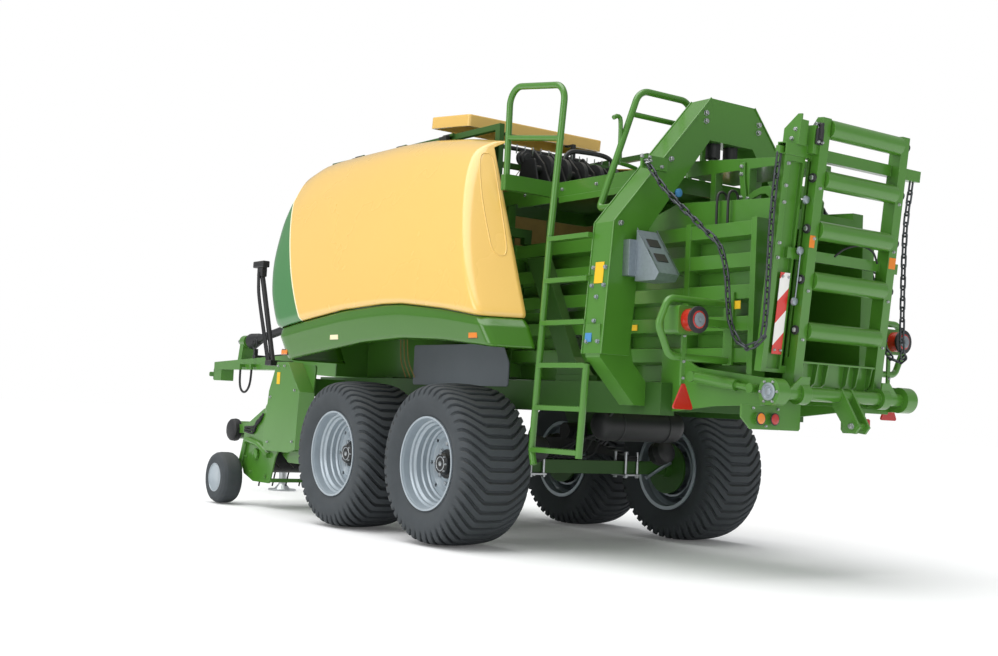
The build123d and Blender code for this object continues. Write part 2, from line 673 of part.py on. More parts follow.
def knotters():
    """Row of twine knotters on a shaft across the deck."""
    shaft_x, shaft_z = -430, 2560
    parts = [disc_y(shaft_x, shaft_z, 28, -440, 440)]
    for side in (1, -1):
        outline = [(-560, DECK_TOP), (-300, DECK_TOP), (-360, 2620), (-500, 2620)]
        parts.append(plate_xz(outline, side * 430, side * 442, 20))
    for index in range(5):
        y = -300 + index * 150
        parts.append(disc_y(shaft_x, shaft_z, 105, y - 16, y + 16))
        parts.append(disc_y(shaft_x + 110, shaft_z + 40, 62, y - 28, y + 20))
        frame = [(-580, DECK_TOP), (-520, DECK_TOP), (-400, 2520), (-300, 2680), (-340, 2720), (-470, 2600)]
        parts.append(plate_xz(frame, y + 24, y + 40, 8))
    return fuse(parts)


def deck_rails():
    """Entry hoop that carries the ladder's front rail up, and the bent handrails behind it."""
    x, y = DECK_STEP + DECK_BEAM / 2, DECK_WIDE - RAIL_TUBE - 3
    ladder_top = ladder_rail_x(2300)
    hoop = pipe([(x, y, DECK_TOP), (x, y, 2975), (ladder_top - 20, y + 20, 2885),
                 (ladder_rail_x(1950), LADDER_Y, 1951)], RAIL_TUBE, 110)
    bar = rod((x, y, 2640), (ladder_top - 8, y + 22, 2555), RAIL_TUBE - 4)
    shapes = [fuse([hoop, bar])]
    for side in (1, -1):
        stand = DECK_REAR + RAIL_TUBE + 2
        rail = pipe([(PORTAL_REAR + PORTAL_DEPTH, side * 785, 2120), (stand, side * 785, 2120),
                     (stand, side * 504, 2893), (stand, side * 60, 2893), (stand, side * 60, DECK_TOP)],
                    RAIL_TUBE, [30, 110, 90])
        shapes.append(fuse([rail, rod((stand, side * 556, 2735), (stand, side * 60, 2735), RAIL_TUBE - 4)]))
    return shapes


def ladder_rail_x(z):
    """Where the leaning front rail of the ladder is at a height."""
    return -1296 - (z - LADDER_FIRST_RUNG) * 0.066


def ladder():
    """Ladder from the rear left up to the deck, its rear rail on the arch's foot."""
    foot = LADDER_FIRST_RUNG - 60
    parts = [pipe([(ladder_rail_x(foot) - 30, LADDER_Y, foot - 30), (ladder_rail_x(foot + 60), LADDER_Y, foot + 60),
                   (ladder_rail_x(1950), LADDER_Y, 1950)], RAIL_TUBE, 60)]
    rear_top = PORTAL_FOOT_Z - 58
    parts.append(rod((ladder_rail_x(LADDER_FIRST_RUNG) - LADDER_WIDTH, LADDER_Y, LADDER_FIRST_RUNG - 30),
                     (ladder_rail_x(rear_top) - LADDER_WIDTH, LADDER_Y, rear_top), RAIL_TUBE))
    leg_front = PORTAL_REAR + PORTAL_DEPTH
    for index in range(RUNG_COUNT):
        z = LADDER_FIRST_RUNG + index * RUNG_PITCH
        rear = ladder_rail_x(z) - LADDER_WIDTH
        if z > rear_top:
            rear = leg_front
        parts.append(block(rear, ladder_rail_x(z), LADDER_Y - 20, LADDER_Y + 20, z - 14, z + 14))
    return fuse(parts)


def side_panels():
    """Pale inner panels over the wheels, hung from the frame."""
    outline = [(-560, 1040), (620, 1040), (620, 1330), (-480, 1330), (-560, 1200)]
    panel = plate_xz(outline, FRAME_Y + FRAME_WIDTH / 2, FRAME_Y + FRAME_WIDTH / 2 + 8, 20)
    return both_sides(panel)


def side_braces():
    """Big sloping brace plates between the frame and the chamber's upper corner."""
    y0 = CHAMBER_INSIDE / 2 + CHAMBER_WALL + RIB_DEPTH
    outline = [(-1350, FRAME_TOP), (-1020, FRAME_TOP), (-1020, 1240), (-640, 1900), (-820, 1900), (-1180, 1240)]
    brace = plate_xz(outline, y0, y0 + 70)
    foot = block(-1340, -1030, FRAME_Y - FRAME_WIDTH / 2, FRAME_Y + 30, FRAME_TOP, FRAME_TOP + 40)
    return both_sides(fuse([brace, foot]))


def lamp_brackets():
    """Lamp boxes behind the arch with their bent guard tubes and reflector straps."""
    x = LAMP_X + 60
    box = block(x, x + 110, LAMP_Y - 78, LAMP_Y + 78, LAMP_Z - 78, LAMP_Z + 78)
    box = fillet(box.edges().filter_by(Axis.X), 22)
    face = CHAMBER_INSIDE / 2 + CHAMBER_WALL + RIB_DEPTH
    post = block(x + 20, x + 90, face, face + 18, 1190, 1600)
    shelf = block(x + 20, x + 90, face, LAMP_Y, LAMP_Z - 20, LAMP_Z + 20)
    guard_x = x + 55
    guard = pipe([(guard_x, face + 4, 1530), (guard_x, 980, 1530), (guard_x, 1045, 1380), (guard_x, 960, 1215),
                  (guard_x, face + 4, 1215)], 20, 60)
    strap = block(x + 30, x + 42, LAMP_Y - 14, LAMP_Y + 14, 1060, LAMP_Z - 60)
    side = fuse([box, post, shelf, guard, strap])
    return both_sides(side)


def tail_lamps():
    """Round lamps on the lamp boxes."""
    lamp = disc_x(LAMP_Y, LAMP_Z, LAMP_RADIUS, LAMP_X - 6, LAMP_X + 60)
    lamp = fillet(lamp.faces().sort_by(Axis.X)[0].edges(), 14)
    return both_sides(lamp)


def reflectors():
    """Red triangles under the lamps, point up."""
    x = LAMP_X + 78
    half, height = 78, 135
    plate = plate_yz([(LAMP_Y - half, 1065 - height), (LAMP_Y + half, 1065 - height), (LAMP_Y, 1065 + 20)],
                     x, x + 12, 12)
    return both_sides(plate)


def chute_arms():
    """Side plates that reach back from the chamber to the chute's pivot bosses."""
    inner = ARM_Y - ARM_PLATE / 2
    front = PORTAL_REAR - 15
    side = plate_xz([(FRAME_REAR, FRAME_TOP), (front, FRAME_TOP), (front, 1310), (-2250, 1178),
                     (CHUTE_PIVOT_X, CHUTE_PIVOT_Z + 68), (CHUTE_PIVOT_X, CHUTE_PIVOT_Z - 68),
                     (-2400, 960), (FRAME_REAR, 920)], inner, inner + ARM_PLATE)
    boss = disc_y(CHUTE_PIVOT_X, CHUTE_PIVOT_Z, 74, inner - 6, inner + ARM_PLATE + 62)
    pin = CHUTE_PIVOT_RADIUS + RUNNING_CLEARANCE
    bore = disc_y(CHUTE_PIVOT_X, CHUTE_PIVOT_Z, pin, inner - 20, inner + ARM_PLATE + 2)
    seat = block(-2640, FRAME_REAR, CHAMBER_INSIDE / 2, inner + 4, 1000, CHAMBER_FLOOR - CHAMBER_WALL)
    arm = fuse([side, boss, seat] + chute_cylinder()) - bore
    return fuse([arm, other_side(arm), block(-2180, -2100, -410, 410, 1020, CHAMBER_FLOOR - CHAMBER_WALL)])


def chute_cylinder():
    """Lifting cylinder lying along the outside of a chute arm, as far as its rod's eye."""
    face = ARM_Y + ARM_PLATE / 2
    y = face + 42
    start, neck, end = (-2290, y, 1118), (-2600, y, 1078), (-2690, y, 1066)
    base = disc_y(start[0] + 20, start[2] + 3, 30, face - 2, y + 34)
    eye = disc_y(end[0] - 26, end[2] - 3, 26, y - 22, y + 22)
    return [base, rod(start, neck, 32), rod(neck, end, 16), eye]


def light_bar():
    """Low rear boards hung from the chute arms, with the left pair of lamps and the right one."""
    x = CHUTE_PIVOT_X + 60
    inner = ARM_Y - ARM_PLATE / 2
    board = plate_yz([(430, 842), (650, 842), (725, 905), (725, 972), (430, 972)], x, x + 12)
    dark = plate_yz([(262, 842), (405, 842), (440, 872), (440, 1000), (250, 1000), (250, 854)], x + 12, x + 20)
    hanger = block(x + 4, x + 44, inner - 20, inner, 860, 1000)
    lamps = [disc_x(y, 900, 30, x - 22, x + 4) for y in (489, 598)]
    left = fuse([board, dark, hanger] + lamps)
    bar = block(x + 12, x + 42, -inner, -100, 962, 988)
    plate = plate_yz([(-226, 842), (-110, 842), (-90, 862), (-90, 1000), (-226, 1000)], x, x + 12)
    lamp = block(x - 34, x + 2, -286, -226, 868, 926)
    carrier = block(x, x + 12, -286, -216, 890, 990)
    return [left, fuse([bar, block(x + 12, x + 42, -inner, -inner + 20, 962, 1000), plate, carrier, lamp])]


def wheel_chocks():
    """Folded wedge chocks in their holders behind the arch."""
    profile = [(-1990, 1660), (-1990, 1960), (-2190, 1700), (-2160, 1660)]
    chock = plate_xz(profile, 640, 800)
    holder = block(-1990, PORTAL_REAR, 690, 850, 1690, 1900)
    return both_sides(fuse([chock, holder]))


def chute_place(shape):
    """Put a chute piece, made with +X from the lower end up and +Z to the bale side, at its pivot."""
    return Pos(CHUTE_PIVOT_X, 0, CHUTE_PIVOT_Z) * Rot(0, -90 - CHUTE_LEAN, 0) * shape


def chute_frame():
    """Side rails, cross tubes, board post and pivot tube of the folding bale chute."""
    y0, y1 = CHUTE_RAIL_Y, CHUTE_RAIL_Y + CHUTE_RAIL_WIDTH
    low, high = -CHUTE_RAIL_HIGH, -CHUTE_RAIL_LOW
    rail = plate_xz([(70, low), (CHUTE_LENGTH - 60, low), (CHUTE_LENGTH, low + 40), (CHUTE_LENGTH, high),
                     (10, high), (0, -60)], y0, y1)
    groove = block(190, CHUTE_LENGTH - 240, y0 + 8, y1 + 2, low + 14, low + 30)
    rail = rail - groove
    for index in range(ROLLER_COUNT):
        s = ROLLER_FIRST + index * ROLLER_PITCH
        rail -= disc_y(s, -ROLLER_OFFSET, ROLLER_STUB + RUNNING_CLEARANCE, y0 - 5, y1 + 5)
    arm = disc_y(0, 0, 60, y0, y1)
    gusset = (Plane.YX * Pos(0, 0, high)) * extrude(make_face(Polyline((y0, -10), (466, -10), (466, 14), (y1, 95),
                                                                       (y0, 95), close=True)), 10)
    side = fuse([rail, arm, gusset])
    pivot = disc_y(0, 0, CHUTE_PIVOT_RADIUS, -ARM_Y - 6, ARM_Y + 6)
    tube = CHUTE_TUBE / 2
    top = block(CHUTE_TUBE_LOW, CHUTE_TUBE_LOW + CHUTE_TUBE, -CHUTE_TUBE_HALF, CHUTE_TUBE_HALF,
                CHUTE_TUBE_Z - tube, CHUTE_TUBE_Z + tube)
    middle = block(CHUTE_MIDDLE, CHUTE_MIDDLE + 60, -470, 470, CHUTE_TUBE_Z - 30, CHUTE_TUBE_Z + 30)
    for end in (1, -1):
        top -= block(CHUTE_TUBE_LOW + 6, CHUTE_TUBE_LOW + CHUTE_TUBE - 6, end * (CHUTE_TUBE_HALF - 60),
                     end * (CHUTE_TUBE_HALF + 1), CHUTE_TUBE_Z - tube + 6, CHUTE_TUBE_Z + tube - 6)
    whole = fuse([side, other_side(side), pivot, top, middle] + chute_foot() + chute_post() + chute_lever())
    return chute_place(whole)


def chute_foot():
    """Ribbed cross plate between the rails, over the pivot tube."""
    half = CHUTE_RAIL_Y + 10
    parts = [block(36, 176, -half, half, -84, -76), block(166, 176, -half, half, -112, -34)]
    for y in (-288, -174, -88, 88, 174, 288):
        parts.append(plate_xz([(34, -78), (170, -78), (170, -38), (60, -50)], y - 4, y + 4))
    return parts


def chute_post():
    """Post outside the left rail that carries the striped board, with the hook plate and latch."""
    y0, y1 = CHUTE_POST
    deep = CHUTE_POST_DEEP / 2
    post = block(100, CHUTE_TUBE_LOW + 4, y0, y1, CHUTE_TUBE_Z - deep, CHUTE_TUBE_Z + deep)
    recess = block(120, CHUTE_TUBE_LOW - 30, y0 + 14, y1 - 40, CHUTE_TUBE_Z + deep - 22, CHUTE_TUBE_Z + deep + 1)
    foot = block(100, 140, CHUTE_RAIL_Y + 20, y0 + 10, CHUTE_TUBE_Z - 10, CHUTE_TUBE_Z + 24)
    top = CHUTE_TUBE_LOW + CHUTE_TUBE
    hook = plate_xz([(top - 4, -186), (top + 84, -186), (CHUTE_LENGTH, -96), (CHUTE_LENGTH, -70), (top - 4, -70)],
                    490, 502)
    lip = block(top - 4, CHUTE_LENGTH - 30, 440, 492, -82, -70)
    latch = block(top - 40, CHUTE_LENGTH - 50, CHUTE_RAIL_Y + 30, 412, -112, -44)
    eye = block(CHUTE_TUBE_LOW, CHUTE_TUBE_LOW + 40, CHUTE_TUBE_HALF - 6, CHAIN_HANG[1] + CHAIN_RADIUS,
                CHUTE_TUBE_Z - CHAIN_RADIUS, CHUTE_TUBE_Z + CHAIN_RADIUS)
    return [post - recess, foot, hook, lip, latch, eye]


def chute_lever():
    """Two lever plates under the pivot tube, with their pin."""
    outline = [(44, -22), (44, 22), (-150, 176), (-190, 150), (-190, 92), (-60, -28)]
    plates = [plate_xz(outline, y, y + 14) for y in (-64, 18)]
    return plates + [disc_y(-150, 130, 18, -74, 42)]


def chute_roller(index):
    """One free roller with its axle stubs."""
    s = ROLLER_FIRST + index * ROLLER_PITCH
    shape = disc_y(s, -ROLLER_OFFSET, ROLLER_RADIUS, -ROLLER_HALF, ROLLER_HALF)
    shape += disc_y(s, -ROLLER_OFFSET, ROLLER_STUB, -CHUTE_RAIL_Y - 14, CHUTE_RAIL_Y + 14)
    return chute_place(shape)


def chute_point(s, z, y):
    """A point of the chute's own frame, in the layout frame."""
    lean = radians(CHUTE_LEAN)
    return (CHUTE_PIVOT_X - s * sin(lean) - z * cos(lean), y,
            CHUTE_PIVOT_Z + s * cos(lean) - z * sin(lean))


def hanging_chain(side):
    """A slack chain from the arch's bracket down and up to the chute's upper cross tube:
    flat oval links, each turned a quarter against the last."""
    start_x = PORTAL_REAR - CHAIN_BRACKET - 1.5
    hang = side * CHAIN_HANG[side]
    under = CHUTE_TUBE_LOW - 0.2
    points = [(start_x, side * 715, 2385), (start_x - 45, side * 715, 2385), (-2450, side * 735, 1925),
              (-2625, side * 712, 1650), (-2685, side * 685, 1370), (-2760, side * 640, 1282),
              (-2838, hang + side * 14, 1420), chute_point(under - 330, CHUTE_TUBE_Z, hang),
              chute_point(under, CHUTE_TUBE_Z, hang)]
    path = FilletPolyline(*points, radius=60)
    count = round(path.length / CHAIN_PITCH)
    links = []
    for index in range(count):
        start, end = path @ (index / count), path @ ((index + 1) / count)
        along = (end - start).normalized()
        plane = Plane(origin=(start + end) / 2, x_dir=along.cross(Vector(0, 1, 0)), z_dir=along)
        wide, thick = (CHAIN_RADIUS * 2, CHAIN_RADIUS * 0.7) if index % 2 else (CHAIN_RADIUS * 0.7, CHAIN_RADIUS * 2)
        reach = (end - start).length + (0 if index in (0, count - 1) else CHAIN_OVERLAP)
        links.append(extrude(plane * Pos(0, 0, -reach / 2) * Rectangle(wide, thick), reach))
    return links[0].fuse(*links[1:])


def feeder_housing():
    """Side plates and curved pan round the feed rotor, on outriggers from the frame."""
    outline = [(1500, 1160), (2050, 1190), (2060, 720), (1985, 470), (1880, 385), (1660, 385), (1560, 620)]
    parts = []
    for side in (1, -1):
        plate = plate_xz(outline, side * 945, side * 957, 30)
        parts.append(plate - disc_y(ROTOR_X, ROTOR_Z, ROTOR_SHAFT + RUNNING_CLEARANCE, side * 900, side * 1000))
        parts.append(block(1640, 1740, side * (FRAME_Y + FRAME_WIDTH / 2), side * 950, 920, 1060))
    low = ThreePointArc((2050, 500), (1850, 392), (1600, 560))
    high = ThreePointArc((1607, 565), (1850, 401), (2045, 507))
    pan = make_face([low, Line((1600, 560), (1607, 565)), high, Line((2045, 507), (2050, 500))])
    parts.append(extrude(Plane.XZ * pan, 950, both=True))
    return fuse(parts + pickup_hinges())


def feed_rotor():
    """Feed rotor with rows of star plates."""
    shape = fuse([disc_y(ROTOR_X, ROTOR_Z, ROTOR_TUBE, -938, 938), disc_y(ROTOR_X, ROTOR_Z, ROTOR_SHAFT, -957, 957)])
    stars = []
    for index in range(9):
        y = -800 + index * 200
        points = []
        for tooth in range(8):
            angle = radians(tooth * 45 + index * 15)
            radius = 226 if tooth % 2 == 0 else 120
            points.append((ROTOR_X + radius * cos(angle), ROTOR_Z + radius * sin(angle)))
        stars.append(plate_xz(points, y - 8, y + 8))
    return fuse([shape] + stars)


def pickup_frame():
    """Pick-up side plates, cross tubes, wind guard roller and the gauge wheel arms."""
    outline = [(1740, 900), (1860, 900), (2250, 800), (2560, 660), (2640, 430), (2560, 260), (2380, 205),
               (2080, 205), (2000, 420), (1740, 740)]
    parts = []
    for side in (1, -1):
        plate = plate_xz(outline, side * (PICKUP_HALF - 12), side * PICKUP_HALF, 30)
        plate -= disc_y(PICKUP_HINGE_X, PICKUP_HINGE_Z, 25 + RUNNING_CLEARANCE, side * 900, side * 1100)
        plate -= disc_y(REEL_X, REEL_Z, 25 + RUNNING_CLEARANCE, side * 900, side * 1100)
        parts.append(plate)
        arm = pipe([(2100, side * (PICKUP_HALF + 10), 430), (2300, side * (PICKUP_HALF + 10), 512),
                    (2520, side * (PICKUP_HALF + 10), 545), (GAUGE_X, side * (PICKUP_HALF + 10), GAUGE_RADIUS + GAUGE_CLEARANCE)],
                   24, 60)
        parts.append(arm)
        axle = disc_y(GAUGE_X, GAUGE_RADIUS + GAUGE_CLEARANCE, GAUGE_AXLE, side * (PICKUP_HALF - 10), side * (GAUGE_Y + 40))
        parts.append(axle)
        guard_arm = plate_xz([(2400, 720), (2480, 690), (2840, 640), (2830, 580), (2440, 600)],
                             side * (PICKUP_HALF - 24), side * (PICKUP_HALF - 8), 15)
        parts.append(guard_arm)
    parts.append(disc_y(2140, 800, 40, -PICKUP_HALF + 6, PICKUP_HALF - 6))
    parts.append(disc_y(2790, 610, 75, -PICKUP_HALF + 20, PICKUP_HALF - 20))
    parts.append(block(2060, 2100, -PICKUP_HALF + 6, PICKUP_HALF - 6, 215, 245))
    return fuse(parts)


def pickup_hinges():
    """Pins on the feeder housing that the pick-up swings on."""
    pins = [disc_y(PICKUP_HINGE_X, PICKUP_HINGE_Z, 25, 957, PICKUP_HALF + 20)]
    pins.append(disc_y(PICKUP_HINGE_X, PICKUP_HINGE_Z, 45, PICKUP_HALF + 2, PICKUP_HALF + 20))
    return both_sides(fuse(pins))


def pickup_reel():
    """Tined reel: a tube, four tine bars and their spring tines."""
    half = PICKUP_HALF - 20
    parts = [disc_y(REEL_X, REEL_Z, REEL_TUBE, -half, half), disc_y(REEL_X, REEL_Z, 25, -PICKUP_HALF + 1, PICKUP_HALF - 1)]
    for row in range(4):
        for index in range(16):
            y = -half + 60 + index * (2 * half - 120) / 15
            angle = radians(row * 90 + 20)
            start = (REEL_X + 100 * cos(angle), y, REEL_Z + 100 * sin(angle))
            end = (REEL_X + REEL_TIP * cos(angle), y, REEL_Z + REEL_TIP * sin(angle))
            parts.append(beam(start, end, 10, 10))
    return fuse(parts)


def gauge_wheel(side):
    """Small tyred gauge wheel beside the pick-up."""
    half = GAUGE_WIDTH / 2
    radius = GAUGE_RADIUS
    bore = GAUGE_AXLE + RUNNING_CLEARANCE
    wheel = turned([(-half + 30, bore), (-half + 30, 118), (-half, 118), (-half - 4, 165), (-half + 8, 192),
                    (-half + 30, radius - 4), (-30, radius), (30, radius), (half - 30, radius - 4),
                    (half - 8, 192), (half + 4, 165), (half, 118), (half - 40, 118), (half - 40, bore)])
    return Pos(GAUGE_X, side * GAUGE_Y, GAUGE_RADIUS + GAUGE_CLEARANCE) * wheel


def gearbox():
    """Cast main gearbox on the drawbar's rear end, with the crank housings."""
    body = block(1690, 2130, -300, 300, GEARBOX_SEAT, 2040)
    body = fillet(body.edges().filter_by(Axis.X).sort_by(Axis.Z)[-2:], 60)
    nose = disc_x(0, FLYWHEEL_Z, 120, 2120, 2200)
    shaft = disc_x(0, FLYWHEEL_Z, DRIVE_RADIUS, 2190, FLYWHEEL_X + 20)
    cover = disc_x(0, 1560, 190, 2120, 2150)
    return fuse([body, nose, shaft, cover])


def flywheel():
    """Heavy spoked flywheel with its drive flange."""
    x = FLYWHEEL_X
    rim_ring = disc_x(0, FLYWHEEL_Z, FLYWHEEL_RADIUS, x - 60, x + 60, FLYWHEEL_RADIUS - 80)
    web = disc_x(0, FLYWHEEL_Z, FLYWHEEL_RADIUS - 60, x - 14, x + 14)
    holes = [Pos(x, 0, FLYWHEEL_Z) * Rot(angle, 0, 0) * Pos(0, 190, 0) * Rot(0, 90, 0) * Cylinder(48, 60)
             for angle in range(0, 360, 60)]
    web = web - fuse(holes)
    hub = disc_x(0, FLYWHEEL_Z, 95, 2204, x + 70)
    neck = disc_x(0, FLYWHEEL_Z, 18, x + 60, x + 130)
    ball = Pos(x + 130, 0, FLYWHEEL_Z) * Sphere(JOINT_BALL)
    bore = disc_x(0, FLYWHEEL_Z, DRIVE_RADIUS + RUNNING_CLEARANCE, 2190, x + 22)
    return fuse([rim_ring, web, hub, neck, ball]) - bore


def shaft_ends():
    """Where the drive shaft's two joints are, at the flywheel and at the front bearing."""
    return Vector(FLYWHEEL_X + 130, 0, FLYWHEEL_Z), Vector(INPUT_X - 260, 0, INPUT_Z)


def drive_shaft():
    """Sloping guarded drive shaft with a bell over each joint."""
    start, end = shaft_ends()
    along = (end - start).normalized()
    length = (end - start).length
    plane = Plane(origin=start, x_dir=(0, 1, 0), z_dir=along)
    outline = Polyline((0, 0), (36, 0), (74, -4), (80, 4), (56, 150), (48, 165), (48, length * 0.55),
                       (40, length * 0.55 + 10), (40, length - 165), (56, length - 150),
                       (80, length - 4), (74, length + 4), (36, length), (0, length), close=True)
    shaft = plane.location * revolve(Plane.XZ * make_face(outline), Axis.Z)
    for point in (start, end):
        shaft -= Pos(*point) * Sphere(JOINT_BALL + RUNNING_CLEARANCE)
    return shaft


def input_bearing():
    """Bearing stand on the drawbar for the splined input shaft."""
    top = drawbar_top(INPUT_X - 130)
    stand = plate_yz([(-75, top - 25), (75, top - 25), (48, INPUT_Z + 40), (-48, INPUT_Z + 40)],
                     INPUT_X - 170, INPUT_X - 90, 0)
    ring = disc_x(0, INPUT_Z, 62, INPUT_X - 180, INPUT_X - 80)
    return fuse([stand, ring]) - disc_x(0, INPUT_Z, 32 + RUNNING_CLEARANCE, INPUT_X - 200, INPUT_X - 60)


def drawbar_top(x):
    """Height of the drawbar's top face between its shoulder and its head."""
    share = (x - 3300) / (DRAWBAR_FRONT - 3300)
    return DRAWBAR_TOP - 12 + (DRAWBAR_TIP_TOP - DRAWBAR_TOP + 12) * share


def input_shaft():
    """Short splined shaft that the tractor drives."""
    shaft = disc_x(0, INPUT_Z, 32, INPUT_X - 215, INPUT_X - 60)
    spline = disc_x(0, INPUT_Z, SPLINE_RADIUS, INPUT_X - 70, INPUT_X + 30)
    neck = disc_x(0, INPUT_Z, 18, INPUT_X - 260, INPUT_X - 210)
    ball = Pos(INPUT_X - 260, 0, INPUT_Z) * Sphere(JOINT_BALL)
    return fuse([shaft, spline, neck, ball])


def front_cowl():
    """Front panel between the hoods, over the end of the channel."""
    x0 = CHAMBER_FRONT
    half = HOOD_HINGE_Y - 14
    panel = plate_yz([(-half, FRAME_TOP + 5), (half, FRAME_TOP + 5), (half, 2740), (520, 2800), (-520, 2800),
                      (-half, 2740)], x0, x0 + 12)
    rib = block(x0 + 10, x0 + 34, -half + 40, half - 40, 2090, 2130)
    upper = block(x0 + 10, x0 + 34, -half + 40, half - 40, 2560, 2600)
    return fuse([panel, rib, upper])


def hose_holder():
    """Hose post with its guide ring, and the hoses clipped along the drawbar's top."""
    x0, x1 = HOLDER_X, HOLDER_X + 60
    foot = plate_xz([(x0, drawbar_top(x0)), (x1, drawbar_top(x1)), (x1, 1310), (x0, 1310)], -50, 108)
    post = block(x0 + 15, x1 - 15, 72, 108, 1300, 1372)
    ring = Pos(HOLDER_X + 30, 104, 1420) * Rot(90, 0, 0) * Torus(48, 6)
    parts = [foot, post, ring]
    rear = DRAWBAR_TOP + 12.2 + 0.015 * (2500 - 2130)
    for y in (-30, 0, 30):
        parts.append(pipe([(2130.5, y, rear), (3300, y, DRAWBAR_TOP + 0.2), (x0 + 5, y, drawbar_top(x0) + 12.2)],
                          12, 400))
    for x in (3420, 3800, 4200):
        parts.append(plate_xz([(x, drawbar_top(x)), (x + 40, drawbar_top(x + 40)), (x + 40, drawbar_top(x) + 30),
                               (x, drawbar_top(x) + 30)], -48, 48))
    return fuse(parts)


def hose_loop():
    """Spare hose hanging in a loop between its two fittings under the drawbar's side."""
    first, last = HOSE_ENDS
    top = HOSE_TOP - 0.4
    points = [(first, HOSE_Y, top), (first + 1, HOSE_Y + 1, 1062), (first + 36, HOSE_Y + 5, 973),
              (first + 120, HOSE_Y + 8, 932), (last - 38, HOSE_Y + 6, 971), (last + 1, HOSE_Y + 2, 1060),
              (last, HOSE_Y, top)]
    bends = cord_bends(points)
    print("hose bends", [round(bend) for bend in bends])
    return pipe(points, HOSE_RADIUS, bends)


def cord_bends(points):
    """The largest even bend at each inner point of a cord's route."""
    bends = []
    for before, here, after in zip(points, points[1:], points[2:]):
        first = Vector(*here) - Vector(*before)
        second = Vector(*after) - Vector(*here)
        turn = radians(first.get_angle(second))
        bends.append(0.45 * min(first.length, second.length) / tan(turn / 2))
    return bends


def build():
    """Every node's pieces, still in the layout frame."""
    nodes = {}
    for name, x, side in wheel_centres():
        nodes["tyre_" + name] = place_wheel(tyre(), x, side)
        nodes["rim_" + name] = place_wheel(rim(), x, side)
    nodes["axles"] = [axle(AXLE_SPACING / 2), axle(-AXLE_SPACING / 2)]
    nodes["leaf_springs"] = leaf_springs()
    nodes["main_frame"] = main_frame()
    nodes["drawbar"] = drawbar()
    nodes["hitch_eye"] = hitch_eye()
    nodes["jack_housing"] = jack_housing()
    nodes["jack_foot"] = jack_foot()
    nodes["bale_chamber"] = bale_chamber()
    nodes["chamber_top"] = chamber_top()
    nodes["portal_arch"] = portal_arch()
    nodes["press_cylinders"] = press_cylinders()
    nodes["top_deck"] = top_deck()
    nodes["hinge_rails"] = hinge_rails()
    shell = hood_shell()
    nodes["hood_left"] = hood(shell)
    nodes["hood_right"] = other_side(hood(shell))
    nodes["skirt_left"] = skirt(shell)
    nodes["skirt_right"] = other_side(skirt(shell))
    nodes["knotter_cover"] = knotter_cover()
    nodes["cover_stand"] = cover_stand()
    nodes["knotters"] = knotters()
    nodes["deck_rails"] = deck_rails()
    nodes["ladder"] = ladder()
    nodes["side_panels"] = side_panels()
    nodes["lamp_brackets"] = lamp_brackets()
    nodes["rear_lamps"] = tail_lamps() + reflectors()
    nodes["chute_arms"] = chute_arms()
    nodes["light_bar"] = light_bar()
    nodes["wheel_chocks"] = wheel_chocks()
    nodes["chute_frame"] = chute_frame()
    for index in range(ROLLER_COUNT):
        nodes["chute_roller_" + str(index + 1)] = chute_roller(index)
    nodes["chain_left"] = hanging_chain(1)
    nodes["chain_right"] = hanging_chain(-1)
    nodes["feeder_housing"] = feeder_housing()
    nodes["feed_rotor"] = feed_rotor()
    nodes["pickup_frame"] = pickup_frame()
    nodes["pickup_reel"] = pickup_reel()
    nodes["gauge_wheel_left"] = gauge_wheel(1)
    nodes["gauge_wheel_right"] = gauge_wheel(-1)
    nodes["gearbox"] = gearbox()
    nodes["flywheel"] = flywheel()
    nodes["drive_shaft"] = drive_shaft()
    nodes["front_cowl"] = front_cowl()
    nodes["hose_holder"] = hose_holder()
    nodes["hose_loop"] = hose_loop()
    nodes["input_shaft"] = input_shaft()
    return nodes


def write(nodes):
    """Move every node so that the overall box is centred, and write it."""
    solids = {}
    for name, piece in nodes.items():
        group = piece if isinstance(piece, list) else [piece]
        solids[name] = [solid for shape in group for solid in shape.solids()]
    bounds = Compound([solid for group in solids.values() for solid in group]).bounding_box()
    shift = Pos(-(bounds.min.X + bounds.max.X) / 2, -(bounds.min.Y + bounds.max.Y) / 2, 0)
    print("centre shift", round(-(bounds.min.X + bounds.max.X) / 2, 4), "low", round(bounds.min.Z, 4))
    for name, group in solids.items():
        moved = [shift * solid for solid in group]
        node = moved[0] if len(moved) == 1 else Compound(moved)
        export_step(node, "parts/" + name + ".step")


write(build())
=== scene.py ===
"""Large square baler: surfaces, finishes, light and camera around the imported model."""
import json
from math import cos, pi, radians, sin

import bmesh
import bpy
import numpy as np
from mathutils import Matrix, Vector

